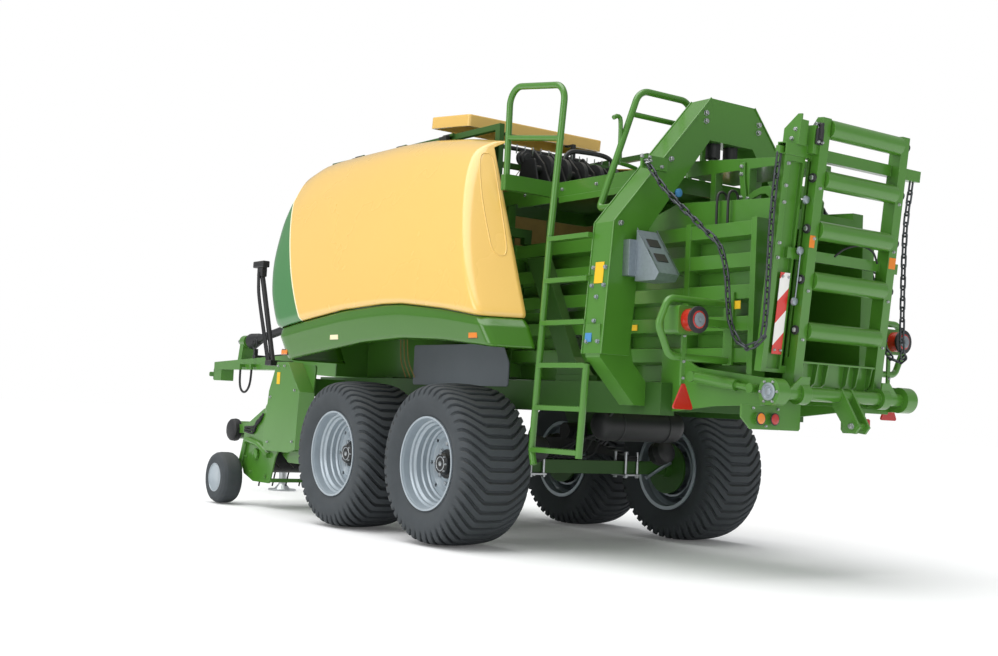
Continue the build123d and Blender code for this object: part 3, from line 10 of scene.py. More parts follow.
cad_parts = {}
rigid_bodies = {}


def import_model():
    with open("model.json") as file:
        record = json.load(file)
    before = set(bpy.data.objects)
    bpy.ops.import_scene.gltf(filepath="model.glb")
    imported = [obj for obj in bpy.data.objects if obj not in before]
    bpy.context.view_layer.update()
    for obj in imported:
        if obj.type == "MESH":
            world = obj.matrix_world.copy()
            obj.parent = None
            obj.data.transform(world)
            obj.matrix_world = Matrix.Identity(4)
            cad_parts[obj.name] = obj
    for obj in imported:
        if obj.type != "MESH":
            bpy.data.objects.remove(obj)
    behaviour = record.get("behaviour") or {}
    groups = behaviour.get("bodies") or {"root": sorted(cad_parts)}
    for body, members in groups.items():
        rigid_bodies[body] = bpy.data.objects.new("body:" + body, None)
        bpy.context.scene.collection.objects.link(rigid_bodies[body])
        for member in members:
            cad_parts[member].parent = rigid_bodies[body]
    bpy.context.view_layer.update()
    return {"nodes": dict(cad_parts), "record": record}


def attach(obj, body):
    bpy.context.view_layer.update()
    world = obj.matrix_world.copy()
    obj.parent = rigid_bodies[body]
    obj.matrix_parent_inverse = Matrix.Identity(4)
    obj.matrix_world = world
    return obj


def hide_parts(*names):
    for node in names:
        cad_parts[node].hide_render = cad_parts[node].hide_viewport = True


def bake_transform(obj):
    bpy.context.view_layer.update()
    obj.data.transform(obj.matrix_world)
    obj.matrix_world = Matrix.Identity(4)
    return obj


for leftover in list(bpy.data.objects):
    bpy.data.objects.remove(leftover)

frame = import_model()

# Shapes are laid out in millimetres, x forward from midway between the axles, y to the
# left and z up from the ground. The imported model's middle is this far in front, in metres.
SHIFT = 1.2644095
FORWARD = (1, 0, 0)
REARWARD = (-1, 0, 0)
SIDES = (("left", 1), ("right", -1))
AXLE = 607
HALF_TRACK = 1041.5
TYRE_RADIUS = 520
CENTRES = {"front_left": (AXLE, 1), "front_right": (AXLE, -1),
           "rear_left": (-AXLE, 1), "rear_right": (-AXLE, -1)}


# Colours and nodes

def linear(code, alpha=1.0):
    """An sRGB hex colour as linear red, green, blue and alpha."""
    parts = np.array([int(code[i:i + 2], 16) for i in (1, 3, 5)]) / 255
    low = parts / 12.92
    high = ((parts + 0.055) / 1.055) ** 2.4
    return (*np.where(parts <= 0.04045, low, high).tolist(), alpha)


def add(tree, kind, inputs=None, **settings):
    """Add a shader node, set its properties, and give its inputs values or links."""
    made = tree.nodes.new("ShaderNode" + kind)
    for name, value in settings.items():
        setattr(made, name, value)
    for key, value in (inputs or {}).items():
        if isinstance(value, bpy.types.NodeSocket):
            tree.links.new(value, made.inputs[key])
        else:
            made.inputs[key].default_value = value
    return made


def blank(name):
    """A new material with an empty tree, and its output node."""
    made = bpy.data.materials.new(name)
    made.use_nodes = True
    made.node_tree.nodes.clear()
    return made, made.node_tree, add(made.node_tree, "OutputMaterial")


def coated(name, colour, shade, rough, patch=0.35, grain=0.004, bump=0.04, dust=0.0,
           wear=None, metal=0.0, coat=0.0, rounding=0.003, dirt="#8b8168"):
    """A painted, moulded or cast finish: two tones in patches, a fine surface grain,
    dust on what faces up, and a worn tone along the edges. Sizes are in metres."""
    made, tree, out = blank(name)
    place = add(tree, "TexCoord").outputs["Object"]
    large = add(tree, "TexNoise", {"Vector": place, "Scale": 1 / patch, "Detail": 4.0,
                                   "Roughness": 0.6})
    tone = add(tree, "Mix", {"Factor": large.outputs["Fac"], "A": linear(colour), "B": linear(shade)},
               data_type="RGBA").outputs["Result"]
    fine = add(tree, "TexNoise", {"Vector": place, "Scale": 1 / grain, "Detail": 2.0})
    rounded = add(tree, "Bevel", {"Radius": rounding}, samples=4).outputs["Normal"]
    facing = add(tree, "NewGeometry")
    if dust:
        up = add(tree, "SeparateXYZ", {"Vector": facing.outputs["Normal"]}).outputs["Z"]
        lying = add(tree, "MapRange", {"Value": up, "From Min": 0.3, "From Max": 1.0, "To Max": dust})
        spread = add(tree, "Math", {0: lying.outputs["Result"], 1: large.outputs["Fac"]},
                     operation="MULTIPLY").outputs["Value"]
        tone = add(tree, "Mix", {"Factor": spread, "A": tone, "B": linear(dirt)},
                   data_type="RGBA").outputs["Result"]
    if wear:
        bend = add(tree, "VectorMath", {0: rounded, 1: facing.outputs["Normal"]},
                   operation="DOT_PRODUCT").outputs["Value"]
        edge = add(tree, "MapRange", {"Value": bend, "From Min": 0.98, "From Max": 0.80,
                                      "To Max": 0.55}).outputs["Result"]
        tone = add(tree, "Mix", {"Factor": edge, "A": tone, "B": linear(wear)},
                   data_type="RGBA").outputs["Result"]
    gloss = add(tree, "MapRange", {"Value": large.outputs["Fac"], "To Min": rough,
                                   "To Max": min(1.0, rough + 0.14)}).outputs["Result"]
    peel = add(tree, "Bump", {"Height": fine.outputs["Fac"], "Normal": rounded,
                              "Strength": bump, "Distance": 0.002}).outputs["Normal"]
    skin = add(tree, "BsdfPrincipled", {"Base Color": tone, "Roughness": gloss, "Metallic": metal,
                                        "Coat Weight": coat, "Coat Roughness": 0.12, "Normal": peel})
    tree.links.new(skin.outputs["BSDF"], out.inputs["Surface"])
    return made


# Two-pack enamel sprayed on welded steel: glossy, light orange peel, dusty on top.
GREEN = coated("enamel_green", "#4c8529", "#447b23", 0.28, dust=0.2, wear="#86b46c", coat=0.4)
# The same enamel, its colour darkened as painted shade, for the parts under the deck and frame, with road
# dirt settled on it.
GREEN_PAINTED_SHADE = coated("enamel_green_under", "#33601c", "#2c5518", 0.42, dust=0.5, wear="#5d8a46")
# Machine-side castings: the same green, sprayed over a sand-cast skin.
CAST = coated("cast_green", "#3c6e22", "#34631d", 0.5, grain=0.006, bump=0.25, dust=0.4)
# Pressure-moulded gel-coated panel: smooth, bright and softly mirror-like.
YELLOW = coated("gelcoat_yellow", "#efc56a", "#edc162", 0.2, patch=1.2, bump=0.01, coat=0.6,
                rounding=0.004)
# The skirts' panels: the same moulding in green, with less gloss.
SKIRT = coated("gelcoat_green", "#3c7213", "#386b11", 0.16, patch=1.2, bump=0.01, coat=0.15)
# Adhesive film of the band along the hood's front edge.
BAND = coated("film_green", "#3f8144", "#3a7a3e", 0.22, patch=1.2, bump=0.01, coat=0.5)
# The unpainted back of the mouldings: resin with its fibres showing, its tone darkened as painted shade for
# the hoods' insides.
BACK_PAINTED_SHADE = coated("moulding_back", "#8a7234", "#6f5b28", 0.7, patch=0.1, grain=0.01, bump=0.3, dust=0.3)
# Carbon-black rubber: dull, faintly grey where it has been scuffed.
RUBBER = coated("tyre_rubber", "#43484c", "#383d40", 0.74, patch=0.12, grain=0.003, bump=0.25,
                dust=0.3, wear="#5a5f63", dirt="#6b6558", rounding=0.005)
# Silver wheel enamel: a fine aluminium flake lacquer, satin.
SILVER = coated("wheel_silver", "#aeb9c0", "#a2adb5", 0.32, bump=0.03, metal=0.35, coat=0.3,
                wear="#dfe5e8", dust=0.15)
# Stoved black enamel on steel tube and plate, worn bright along its edges.
BLACK = coated("black_enamel", "#1b1c1d", "#232425", 0.42, wear="#55585a", dust=0.3)
# Moulded plastic guards and lamp holders, with a fine leather grain.
PLASTIC = coated("black_plastic", "#1d1e20", "#242527", 0.5, grain=0.002, bump=0.2)
# Hot-dip zinc: pale, cloudy in patches the size of its crystals.
ZINC = coated("galvanised", "#aab4ba", "#8d979e", 0.38, patch=0.02, bump=0.05, metal=0.85)
# Bright zinc-plated bolts, pins and brackets.
STEEL = coated("bright_steel", "#c4c7c9", "#a4a7a9", 0.26, patch=0.05, bump=0.06, metal=1.0)
# Chain links darkened by oil and dirt.
CHAIN = coated("oiled_chain", "#5b5f62", "#3a3d3f", 0.35, patch=0.03, bump=0.1, metal=0.9)
# Grey enamel on the smooth side panels.
GREY = coated("grey_panel", "#7d868c", "#727a80", 0.4, bump=0.04, dust=0.2)
# Black hose rubber with a fine woven grain.
HOSE = coated("hose_rubber", "#17181a", "#202123", 0.55, patch=0.04, grain=0.0015, bump=0.3)
# Moulded lamp glass: clear-coated, with the fine relief of its prisms.
RED_LENS = coated("lens_red", "#c8281e", "#a81c16", 0.15, bump=0.3, grain=0.005, coat=0.7)
AMBER_LENS = coated("lens_amber", "#f08a1c", "#dc7a12", 0.15, bump=0.3, grain=0.005, coat=0.7)
# Blank adhesive plates: matt film, slightly scuffed.
YELLOW_FILM = coated("film_yellow", "#f2c21c", "#e8b818", 0.45, patch=0.03, bump=0.03)
ORANGE_FILM = coated("film_orange", "#e8861e", "#dc7c18", 0.45, patch=0.03, bump=0.03)
BLUE_FILM = coated("film_blue", "#4c8fc8", "#4486be", 0.45, patch=0.03, bump=0.03)
CREAM_FILM = coated("film_cream", "#f6ecc8", "#f0e4ba", 0.45, patch=0.05, bump=0.03)
# Twisted plastic baling twine, sun-bleached.
TWINE = coated("twine", "#b49a5a", "#9c8448", 0.8, patch=0.01, grain=0.002, bump=0.5)


def striped(name, first, second, width, rough):
    """A reflecting board: even slanting bands of two colours, measured across the board's
    height and width, under a fine prism grain. The width of a band is in metres."""
    made, tree, out = blank(name)
    place = add(tree, "TexCoord").outputs["Object"]
    parts = add(tree, "SeparateXYZ", {"Vector": place})
    slant = add(tree, "Math", {0: parts.outputs["Y"], 1: parts.outputs["Z"]}, operation="ADD")
    bands = add(tree, "Math", {0: slant.outputs["Value"], 1: 1 / (2 * width * 2 ** 0.5)},
                operation="MULTIPLY")
    share = add(tree, "Math", {0: bands.outputs["Value"]}, operation="FRACT")
    which = add(tree, "Math", {0: share.outputs["Value"], 1: 0.5}, operation="GREATER_THAN")
    tone = add(tree, "Mix", {"Factor": which.outputs["Value"], "A": linear(first), "B": linear(second)},
               data_type="RGBA").outputs["Result"]
    prisms = add(tree, "TexVoronoi", {"Vector": place, "Scale": 1 / 0.004})
    relief = add(tree, "Bump", {"Height": prisms.outputs["Distance"], "Strength": 0.15, "Distance": 0.001})
    skin = add(tree, "BsdfPrincipled", {"Base Color": tone, "Roughness": rough, "Coat Weight": 0.5,
                                        "Normal": relief.outputs["Normal"]})
    tree.links.new(skin.outputs["BSDF"], out.inputs["Surface"])
    return made


BOARD = striped("board_red_white", "#d8322a", "#f4f2ee", 0.085, 0.35)


# Surfaces

def grid_faces(rows, columns, round_rows=False, round_columns=False):
    """Quads of a grid of points stored row by row; either way round may close on itself."""
    r = np.arange(rows if round_rows else rows - 1)
    c = np.arange(columns if round_columns else columns - 1)
    a, b = np.meshgrid(r, c, indexing="ij")
    a, b = a.ravel(), b.ravel()
    up, on = (a + 1) % rows, (b + 1) % columns
    return np.stack([a * columns + b, a * columns + on, up * columns + on, up * columns + b], -1)


def capped(rings):
    """A stack of closed rings of points, as quads between them and one face at each end."""
    rows, columns = rings.shape[:2]
    ends = np.arange(columns)[None, :]
    return rings.reshape(-1, 3), [grid_faces(rows, columns, round_columns=True), ends,
                                  ends + (rows - 1) * columns]


def joined(*shapes):
    """Several (points, blocks of faces) shapes as one."""
    starts = np.cumsum([0] + [len(points) for points, _ in shapes])
    return (np.concatenate([points for points, _ in shapes]),
            [block + first for (_, blocks), first in zip(shapes, starts) for block in blocks])


def repeated(shape, places):
    """A shape copied to every one of many places."""
    points, blocks = shape
    places = np.reshape(np.asarray(places, float), (-1, 1, 3))
    first = np.arange(len(places))[:, None, None] * len(points)
    return ((places + points[None]).reshape(-1, 3),
            [(block[None] + first).reshape(-1, block.shape[1]) for block in blocks])


def frame_along(direction):
    """Three rows at right angles to each other, the last along a direction."""
    w = np.asarray(direction, float) / np.linalg.norm(direction)
    u = np.cross((0, 0, 1) if abs(w[2]) < 0.9 else (1, 0, 0), w)
    u /= np.linalg.norm(u)
    return np.array([u, np.cross(w, u), w])


def prism(outline, low, high, axis=1, edge=2.0):
    """An outline carried along an axis, its rims chamfered: four rings, of which the end
    ones are drawn in along the outline's mitred normals."""
    flat = np.asarray(outline, float)
    after = np.roll(flat, -1, 0)
    run = (after - flat) / np.linalg.norm(after - flat, axis=1)[:, None]
    way = np.sign(np.sum(flat[:, 0] * after[:, 1] - flat[:, 1] * after[:, 0]))
    out = way * np.stack([run[:, 1], -run[:, 0]], -1)
    last = np.roll(out, 1, 0)
    inner = flat - edge * (out + last) / (1 + (out * last).sum(1))[:, None]
    rings = np.stack([inner, flat, flat, inner])
    level = np.repeat([low, low + edge, high - edge, high], len(flat)).reshape(4, -1)
    return capped(np.insert(rings, axis, level, axis=2))


def box(x0, x1, y0, y1, z0, z1, edge=2.0):
    """A block with chamfered edges."""
    return prism([(x0, z0), (x1, z0), (x1, z1), (x0, z1)], min(y0, y1), max(y0, y1), edge=edge)


def revolved(profile, centre, direction=(0, 1, 0), steps=32):
    """An outline of (distance, radius) turned about a line through a centre."""
    along, radius = np.asarray(profile, float).T[..., None]
    turn = np.arange(steps) * 2 * pi / steps
    local = np.stack([radius * np.cos(turn), radius * np.sin(turn), along + 0 * turn], -1)
    return capped(local @ frame_along(direction) + centre)


def tube(path, radius, sides=14):
    """A round bar carried along a path: at each point a ring at right angles to it."""
    path = np.asarray(path, float)
    ahead = np.gradient(path, axis=0)
    ahead /= np.linalg.norm(ahead, axis=1)[:, None]
    guide = np.eye(3)[np.argmin(np.abs(ahead).max(0))]
    across = np.cross(ahead, guide)
    across /= np.linalg.norm(across, axis=1)[:, None]
    above = np.cross(across, ahead)
    turn = (np.arange(sides) * 2 * pi / sides)[:, None]
    return capped(path[:, None] + radius * (np.cos(turn) * across[:, None] + np.sin(turn) * above[:, None]))


def hoop(centre, direction, radius, wire, steps=40, sides=10):
    """A ring of round wire about a line through a centre."""
    big = (np.arange(steps) * 2 * pi / steps)[:, None]
    small = np.arange(sides) * 2 * pi / sides
    reach = radius + wire * np.cos(small)
    local = np.stack(np.broadcast_arrays(reach * np.cos(big), reach * np.sin(big), wire * np.sin(small)), -1)
    points = local @ frame_along(direction) + centre
    return points.reshape(-1, 3), [grid_faces(steps, sides, True, True)]


def bolts(places, direction, across=22.0):
    """Hexagon heads on washers, one shape repeated: rings of twelve points, those of the
    head with every second point drawn in to the middle of a flat."""
    half = across / 2
    six = np.where(np.arange(12) % 2, 1, 1 / cos(pi / 6)) * half
    ring = np.ones(12) * half
    radius = np.stack([1.3 * ring, 1.3 * ring, six, six, 0.86 * ring])
    level = np.array([-1.0, 3.0, 3.0, 3 + 0.55 * across, 3 + 0.63 * across])[:, None] + 0 * radius
    turn = np.arange(12) * 2 * pi / 12
    local = np.stack([radius * np.cos(turn), radius * np.sin(turn), level], -1)
    return repeated(capped(local @ frame_along(direction)), places)


def smooth_line(points, count):
    """A Catmull-Rom curve through points, sampled evenly by length."""
    points = np.asarray(points, float)
    p = np.concatenate([[2 * points[0] - points[1]], points, [2 * points[-1] - points[-2]]])
    t = np.linspace(0, 1, 24, endpoint=False)[:, None, None]
    a, b, c, d = p[:-3], p[1:-2], p[2:-1], p[3:]
    curve = 0.5 * (2 * b + (c - a) * t + (2 * a - 5 * b + 4 * c - d) * t ** 2
                   + (3 * b - a - 3 * c + d) * t ** 3)
    curve = np.concatenate([curve.transpose(1, 0, 2).reshape(-1, points.shape[1]), points[-1:]])
    length = np.concatenate([[0], np.cumsum(np.linalg.norm(np.diff(curve, axis=0), axis=1))])
    want = np.linspace(0, length[-1], count)
    return np.stack([np.interp(want, length, curve[:, k]) for k in range(points.shape[1])], -1)


def piece(name, shape, body, finish, nodes=(), flip=False, sharp=35, kinds=None, solid=True):
    """A mesh object from (points, blocks of faces) in millimetres of the layout, riding on
    a body when one is named, with its finish. Closed shapes get their faces turned outwards."""
    points, blocks = shape
    mesh = bpy.data.meshes.new(name)
    faces = [face[::-1] if flip else face for block in blocks for face in block.tolist()]
    mesh.from_pydata((points / 1000 - (SHIFT, 0, 0)).tolist(), [], faces)
    for material in finish if isinstance(finish, (list, tuple)) else [finish]:
        mesh.materials.append(material)
    if kinds is not None:
        mesh.polygons.foreach_set("material_index", np.asarray(kinds, np.int32))
    if solid:
        work = bmesh.new()
        work.from_mesh(mesh)
        bmesh.ops.recalc_face_normals(work, faces=work.faces)
        work.to_mesh(mesh)
        work.free()
    mesh.polygons.foreach_set("use_smooth", np.ones(len(mesh.polygons), bool))
    mesh.set_sharp_from_angle(angle=radians(sharp))
    made = bpy.data.objects.new(name, mesh)
    bpy.context.scene.collection.objects.link(made)
    if isinstance(body, str):
        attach(made, body)
    if nodes:
        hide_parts(*nodes)
    return made


# Tyres

LUGS = 46
TREAD_DEPTH = 20
# The lugs run straight over the crown and begin to sweep forward this far from its middle,
# easing in over EASE; SWEEP is how steeply they lie at the shoulder.
LUG_START = 80
EASE = 30
SWEEP = 0.92


def tyre(centre):
    """Lugged tyre: the carcass profile of (across, radius) turned about the axle. Each row is
    shifted round the wheel by a hyperbola of its distance from the crown, and between the
    lugs it is drawn in along the profile's normal by the tread's depth at its radius."""
    half = np.array([[225, 286], [226, 300], [231, 312], [240, 326], [251, 352], [261, 380], [263, 402],
                     [262, 420], [260, 432], [259, 446], [256, 458], [251, 470], [244, 480], [235, 489],
                     [222, 497], [204, 503], [180, 508], [150, 512], [118, 515], [96, 516.5],
                     [84, 517.5], [60, 518.5], [30, 519.5]])
    profile = np.concatenate([half, [[0, TYRE_RADIUS]], (half * [-1, 1])[::-1]])
    y, r = profile.T
    phases = np.array([0.0, 0.05, 0.09, 0.35, 0.63, 0.68, 0.74, 0.87])
    raised = np.array([0.0, 0.75, 1.0, 1.0, 1.0, 0.75, 0.0, 0.0])
    turn = ((np.arange(LUGS)[:, None] + phases) * 2 * pi / LUGS).ravel()
    height = np.tile(raised, LUGS)
    over = np.maximum(0, np.abs(y) - LUG_START)
    sweep = SWEEP * (np.sqrt(over ** 2 + EASE ** 2) - EASE) / TYRE_RADIUS
    depth = np.interp(r, [428, 446, 497, TYRE_RADIUS], [0, 12, TREAD_DEPTH, TREAD_DEPTH])
    slope = np.gradient(profile, axis=0)
    normal = np.stack([-slope[:, 1], slope[:, 0]], -1)
    normal /= np.linalg.norm(normal, axis=1)[:, None]
    drop = depth[:, None] * (1 - height[None, :])
    along = y[:, None] + normal[:, :1] * drop
    radius = r[:, None] - np.abs(normal[:, 1:]) * drop
    angle = turn[None, :] + sweep[:, None]
    points = np.stack([-radius * np.cos(angle), along + 0 * angle, radius * np.sin(angle)], -1)
    return points.reshape(-1, 3) + centre, [grid_faces(len(profile), len(turn), round_columns=True)]


# Side hoods

# The hood's section as (across, up), from the skirt's foot to the hinge line on the roof.
SECTION = np.array([[1250, 1100], [1268, 1330], [1280, 1560], [1258, 1800], [1210, 2030], [1150, 2240],
                    [1085, 2430], [1015, 2580], [950, 2685], [875, 2755], [800, 2795], [718, 2812]], float)
HOOD_CURVE = smooth_line(SECTION, 400)
HOOD_FOOT = SECTION[0, 1]
HOOD_RIDGE = SECTION[-1, 1]
HINGE_LINE = SECTION[-1, 0]
# How wide the front edge and the rear crease are rounded, and the wall's thickness in metres.
NOSE = 130
CREASE = 48
WALL = 0.008


def hood_top(x):
    """Height of the hood's ridge along the machine."""
    return np.interp(x, [-600, -520, -200, 200, 600, 1100, 1500, 1680, 1850, 1960, 2010],
                     [2678, 2692, 2747, 2792, 2812, 2812, 2808, 2800, 2765, 2690, 2560])


def hood_front(z):
    """Front edge of the hood at a height."""
    return np.interp(z, [1100, 1195, 1450, 1700, 1950, 2200, 2400, 2560, 2812],
                     [1465, 1500, 1655, 1790, 1885, 1950, 1985, 2008, 2010])


def split_line(x):
    """Height of the arched joint between hood and skirt."""
    return np.interp(x, [-1600, -1126, -686, -206, 54, 599, 1204, 1620, 2000],
                     [1385, 1445, 1508, 1556, 1560, 1538, 1475, 1425, 1370])


def under_line(x):
    """Height of the skirt's arched lower edge."""
    return np.interp(x, [-1600, -1124, -685, -206, 319, 746, 1205, 1500, 2000],
                     [1215, 1268, 1305, 1322, 1300, 1258, 1212, 1180, 1150])


def corner_plane(y, z):
    """How far along the machine a hood's leaning rear corner panel is: a slanting plane."""
    return -1120 + 0.4444 * (y - 1270) + 0.6387 * (z - 1440)


def band_line(z):
    """How far along the machine the green band begins at a height: a straight slant."""
    return 1220 + 0.655 * (z - 1497)


def section_point(x, share, low, high):
    """Point of the hood's section at a place along the machine: the share runs from the
    lower line to the upper one along the section curve, whose heights are scaled so that
    the curve ends on the ridge."""
    squeeze = (hood_top(x) - HOOD_FOOT) / (HOOD_RIDGE - HOOD_FOOT)
    across, heights = HOOD_CURVE.T
    steps = np.linspace(0, 1, len(HOOD_CURVE))
    start = np.interp(HOOD_FOOT + (low(x) - HOOD_FOOT) / squeeze, heights, steps)
    end = 1.0
    if high is not None:
        end = np.interp(HOOD_FOOT + (high(x) - HOOD_FOOT) / squeeze, heights, steps)
    t = start + (end - start) * share
    return np.interp(t, steps, across), HOOD_FOOT + (np.interp(t, steps, heights) - HOOD_FOOT) * squeeze


def rounded_edge(start, corner, finish):
    """A rounded edge between two rows of points: a parabola drawn towards their corner."""
    bend = np.linspace(0, 1, 10)[1:-1][None, :, None]
    return (1 - bend) ** 2 * start + 2 * bend * (1 - bend) * corner + bend ** 2 * finish


def row_of(x, y, z):
    """Points from coordinates given as single values or whole rows."""
    return np.stack(np.broadcast_arrays(x, y, z), -1)


def hood_skin(shares, inset, low, high, side):
    """Grid of a hood or skirt: each row goes from the inner edge of the rear corner panel,
    round the rear crease, along the side and the band, round the front edge and in again.
    Where a row meets the panel, the band and the front edge is found in thirty steps
    that each go half of the way."""
    share, inset = shares[:, None], inset[:, None]
    x1 = np.full_like(share, -1000.0)
    x2 = np.full_like(share, 1700.0)
    xb = np.full_like(share, 1500.0)
    for _ in range(30):
        y1, z1 = section_point(x1, share, low, high)
        x1 = 0.5 * x1 + 0.5 * (corner_plane(y1, z1) + inset)
        y2, z2 = section_point(x2, share, low, high)
        x2 = 0.5 * x2 + 0.5 * (hood_front(z2) - inset)
        zb = section_point(xb, share, low, high)[1]
        xb = 0.5 * xb + 0.5 * np.minimum(band_line(zb), x2 - NOSE)
    inner = np.interp(z1, [1100, 1440, 2630, 2680], [1010, 1000, 825, HINGE_LINE])
    inner = np.minimum(inner, y1 - 4)
    lean = np.minimum(CREASE, 0.45 * (y1 - inner))
    nose = np.minimum(NOSE, 0.45 * (y2 - HINGE_LINE + 8))
    rear = y1 - inset - lean
    panel = rear + (inner - rear) * np.linspace(1, 0, 12)[None, :]
    parts = [row_of(corner_plane(panel, z1) + inset, panel, z1)]
    xs = x1 + lean
    ys, zs = section_point(xs, share, low, high)
    parts.append(rounded_edge(parts[0][:, -1:], row_of(x1, y1 - inset, z1), row_of(xs, ys - inset, zs)))
    for begin, end, count in ((xs, xb - 16, 30), (xb - 15, xb - 1, 2), (xb, x2 - nose, 8)):
        run = begin + (end - begin) * np.linspace(0, 1, count)[None, :]
        y, z = section_point(run, share, low, high)
        parts.append(row_of(run, y - inset, z))
    front = y2 - inset - nose
    parts.append(rounded_edge(parts[-1][:, -1:], row_of(x2, y2 - inset, z2), row_of(x2, front, z2)))
    wall = front + (HINGE_LINE - front) * np.linspace(0, 1, 8)[None, :]
    parts.append(row_of(x2, wall, z2))
    counts = [part.shape[1] for part in parts]
    points = np.concatenate(parts, 1)
    faces = grid_faces(*points.shape[:2])
    return (points * (1, side, 1)).reshape(-1, 3), [faces], counts


def thickened(made, thickness):
    """Give a skin its wall, inwards; the wall's settings are handed back."""
    wall = made.modifiers.new("wall", "SOLIDIFY")
    wall.thickness = thickness
    wall.offset = -1
    return wall


for word, side in SIDES:
    rows = np.concatenate([[0, 0.006, 0.014], np.linspace(0.026, 1, 46)])
    lip = np.interp(rows, [0, 0.006, 0.014, 0.026], [22, 14, 4, 0])
    points, faces, counts = hood_skin(rows, lip, split_line, None, side)
    edges = np.cumsum(counts)
    column = np.tile(np.arange(sum(counts) - 1), len(rows) - 1)
    # Yellow up to the cream line, then the green band, and yellow again inside its edge.
    kinds = np.select([column < edges[2] - 1, column < edges[3], column < edges[5] - 4], [0, 2, 1], 0)
    outside = [YELLOW, BAND, CREAM_FILM]
    # Inside, the hoods take the moulding back, darkened as painted shade.
    hood = piece("hood_panel_" + word, (points, faces), "hood_" + word + "_body", outside + [BACK_PAINTED_SHADE] * 3,
                 ["hood_" + word], flip=side > 0, kinds=kinds, sharp=50, solid=False)
    thickened(hood, WALL).material_offset = len(outside)
    rows = np.linspace(0, 1, 22)
    tuck = np.interp(rows, [0, 0.06, 0.35, 0.72, 0.94, 1], [26, 8, 4, 0, 20, 34])
    points, faces, counts = hood_skin(rows, tuck, under_line, split_line, side)
    skirt = piece("skirt_panel_" + word, (points, faces), "hood_" + word + "_body", SKIRT,
                  ["skirt_" + word], flip=side > 0, sharp=50, solid=False)
    thickened(skirt, WALL)

for word, (x, side) in CENTRES.items():
    piece("tread_" + word, tyre((x, side * HALF_TRACK, TYRE_RADIUS)), "wheel_" + word, RUBBER,
          ["tyre_" + word], sharp=32)


# Wheels' hubs

def around(centre, radius, count):
    """Places evenly round a circle about a centre, in the upright plane along the machine."""
    x, y, z = centre
    turn = np.arange(count) * 2 * pi / count
    return np.stack([x + radius * np.cos(turn), y + 0 * turn, z + radius * np.sin(turn)], -1)


# How far the rim's dish and the hub cap stand out from the middle of the tyre.
DISH_FACE = 37
CAP_FACE = 118
HUB_CAP = [(56, 88), (60, 94), (72, 94), (76, 88), (80, 72), (112, 70), (121, 60), (122, 50)]

for word, (x, side) in CENTRES.items():
    hub = (x, side * HALF_TRACK, TYRE_RADIUS)
    out = (0, side, 0)
    studs = around((x, side * (HALF_TRACK + DISH_FACE), TYRE_RADIUS), radius=134, count=10)
    piece("wheel_nuts_" + word, bolts(studs, out, 24), "wheel_" + word, STEEL)
    piece("hub_cap_" + word, revolved(HUB_CAP, hub, out, 40), "wheel_" + word, BLACK)
    screws = around((x, side * (HALF_TRACK + CAP_FACE), TYRE_RADIUS), radius=62, count=8)
    bright = joined(hoop((x, side * (HALF_TRACK + CAP_FACE + 3), TYRE_RADIUS), out, 44, 4),
                    revolved([(120, 17), (126, 15), (128, 8)], hub, out, 20), bolts(screws, out, 10))
    piece("hub_ring_" + word, bright, "wheel_" + word, STEEL)


# Hoods' trim

# Outline of the raised bead on the rear corner panel, as (across, up).
BEAD = [(872, 2575), (925, 2560), (968, 2450), (1018, 2230), (1052, 2000), (1060, 1890),
        (1020, 1850), (975, 1900), (925, 2150), (880, 2400), (862, 2530), (872, 2575)]
HINGE_PIN = [(0, 11), (2, 12), (88, 12), (90, 11)]

for word, side in SIDES:
    body = "hood_" + word + "_body"
    y, z = smooth_line(BEAD, 90).T
    bead = np.stack([corner_plane(y, z) + 1, y * side, z], -1)
    piece("corner_bead_" + word, tube(bead, 4.5, 10), body, YELLOW)
    knuckles = joined(*[part for x in (150, 780, 1400) for part in
                        (box(x, x + 90, side * 712, side * 752, 2774, 2814, 4),
                         revolved(HINGE_PIN, (x, side * 710, 2822), FORWARD, 24))])
    piece("hood_knuckles_" + word, knuckles, body, BLACK)
    markers = joined(box(-1095, -1003, side * 1256, side * 1270, 1312, 1348, 5),
                     box(1418, 1510, side * 1246, side * 1262, 1227, 1263, 5))
    piece("marker_lamps_" + word, markers, body, AMBER_LENS)
    holders = joined(box(-1103, -995, side * 1250, side * 1264, 1306, 1354, 6),
                     box(1410, 1518, side * 1240, side * 1256, 1221, 1269, 6))
    piece("marker_holders_" + word, holders, body, PLASTIC)
    plate = box(630, 745, side * 1255, side * 1269, 1328, 1364, 4)
    piece("skirt_plate_" + word, plate, body, CREAM_FILM)


# Lamps and boards

# Outlines as (distance to the rear, radius) from the lamp housing's face.
LENS = [(0, 60), (4, 60), (10, 57), (14, 48), (15, 34), (15, 12)]
BEZEL = [(0, 70), (3, 73), (16, 73), (18, 66)]
LAMP_MIDDLE = [(20, 36), (25, 35), (29, 26), (27, 12), (33, 11), (35, 4)]

for word, side in SIDES:
    spot = (-2588, side * 873, 1415)
    x, y, z = spot
    bezel = joined(hoop((x - 8, y, z), REARWARD, 62, 7), revolved(BEZEL, spot, REARWARD, 40))
    piece("lamp_bezel_" + word, bezel, "chassis", BLACK)
    glass = revolved([(along + 4, radius) for along, radius in LENS], spot, REARWARD, 40)
    piece("lamp_glass_" + word, glass, "chassis", RED_LENS)
    centre = joined(hoop((x - 22, y, z), REARWARD, 36, 3), revolved(LAMP_MIDDLE, spot, REARWARD, 28))
    piece("lamp_centre_" + word, centre, "chassis", GREY)
    screws = bolts([(-2496, y, height) for height in (1100, 1190, 1330)], REARWARD, 13)
    piece("strap_bolts_" + word, screws, "chassis", STEEL)

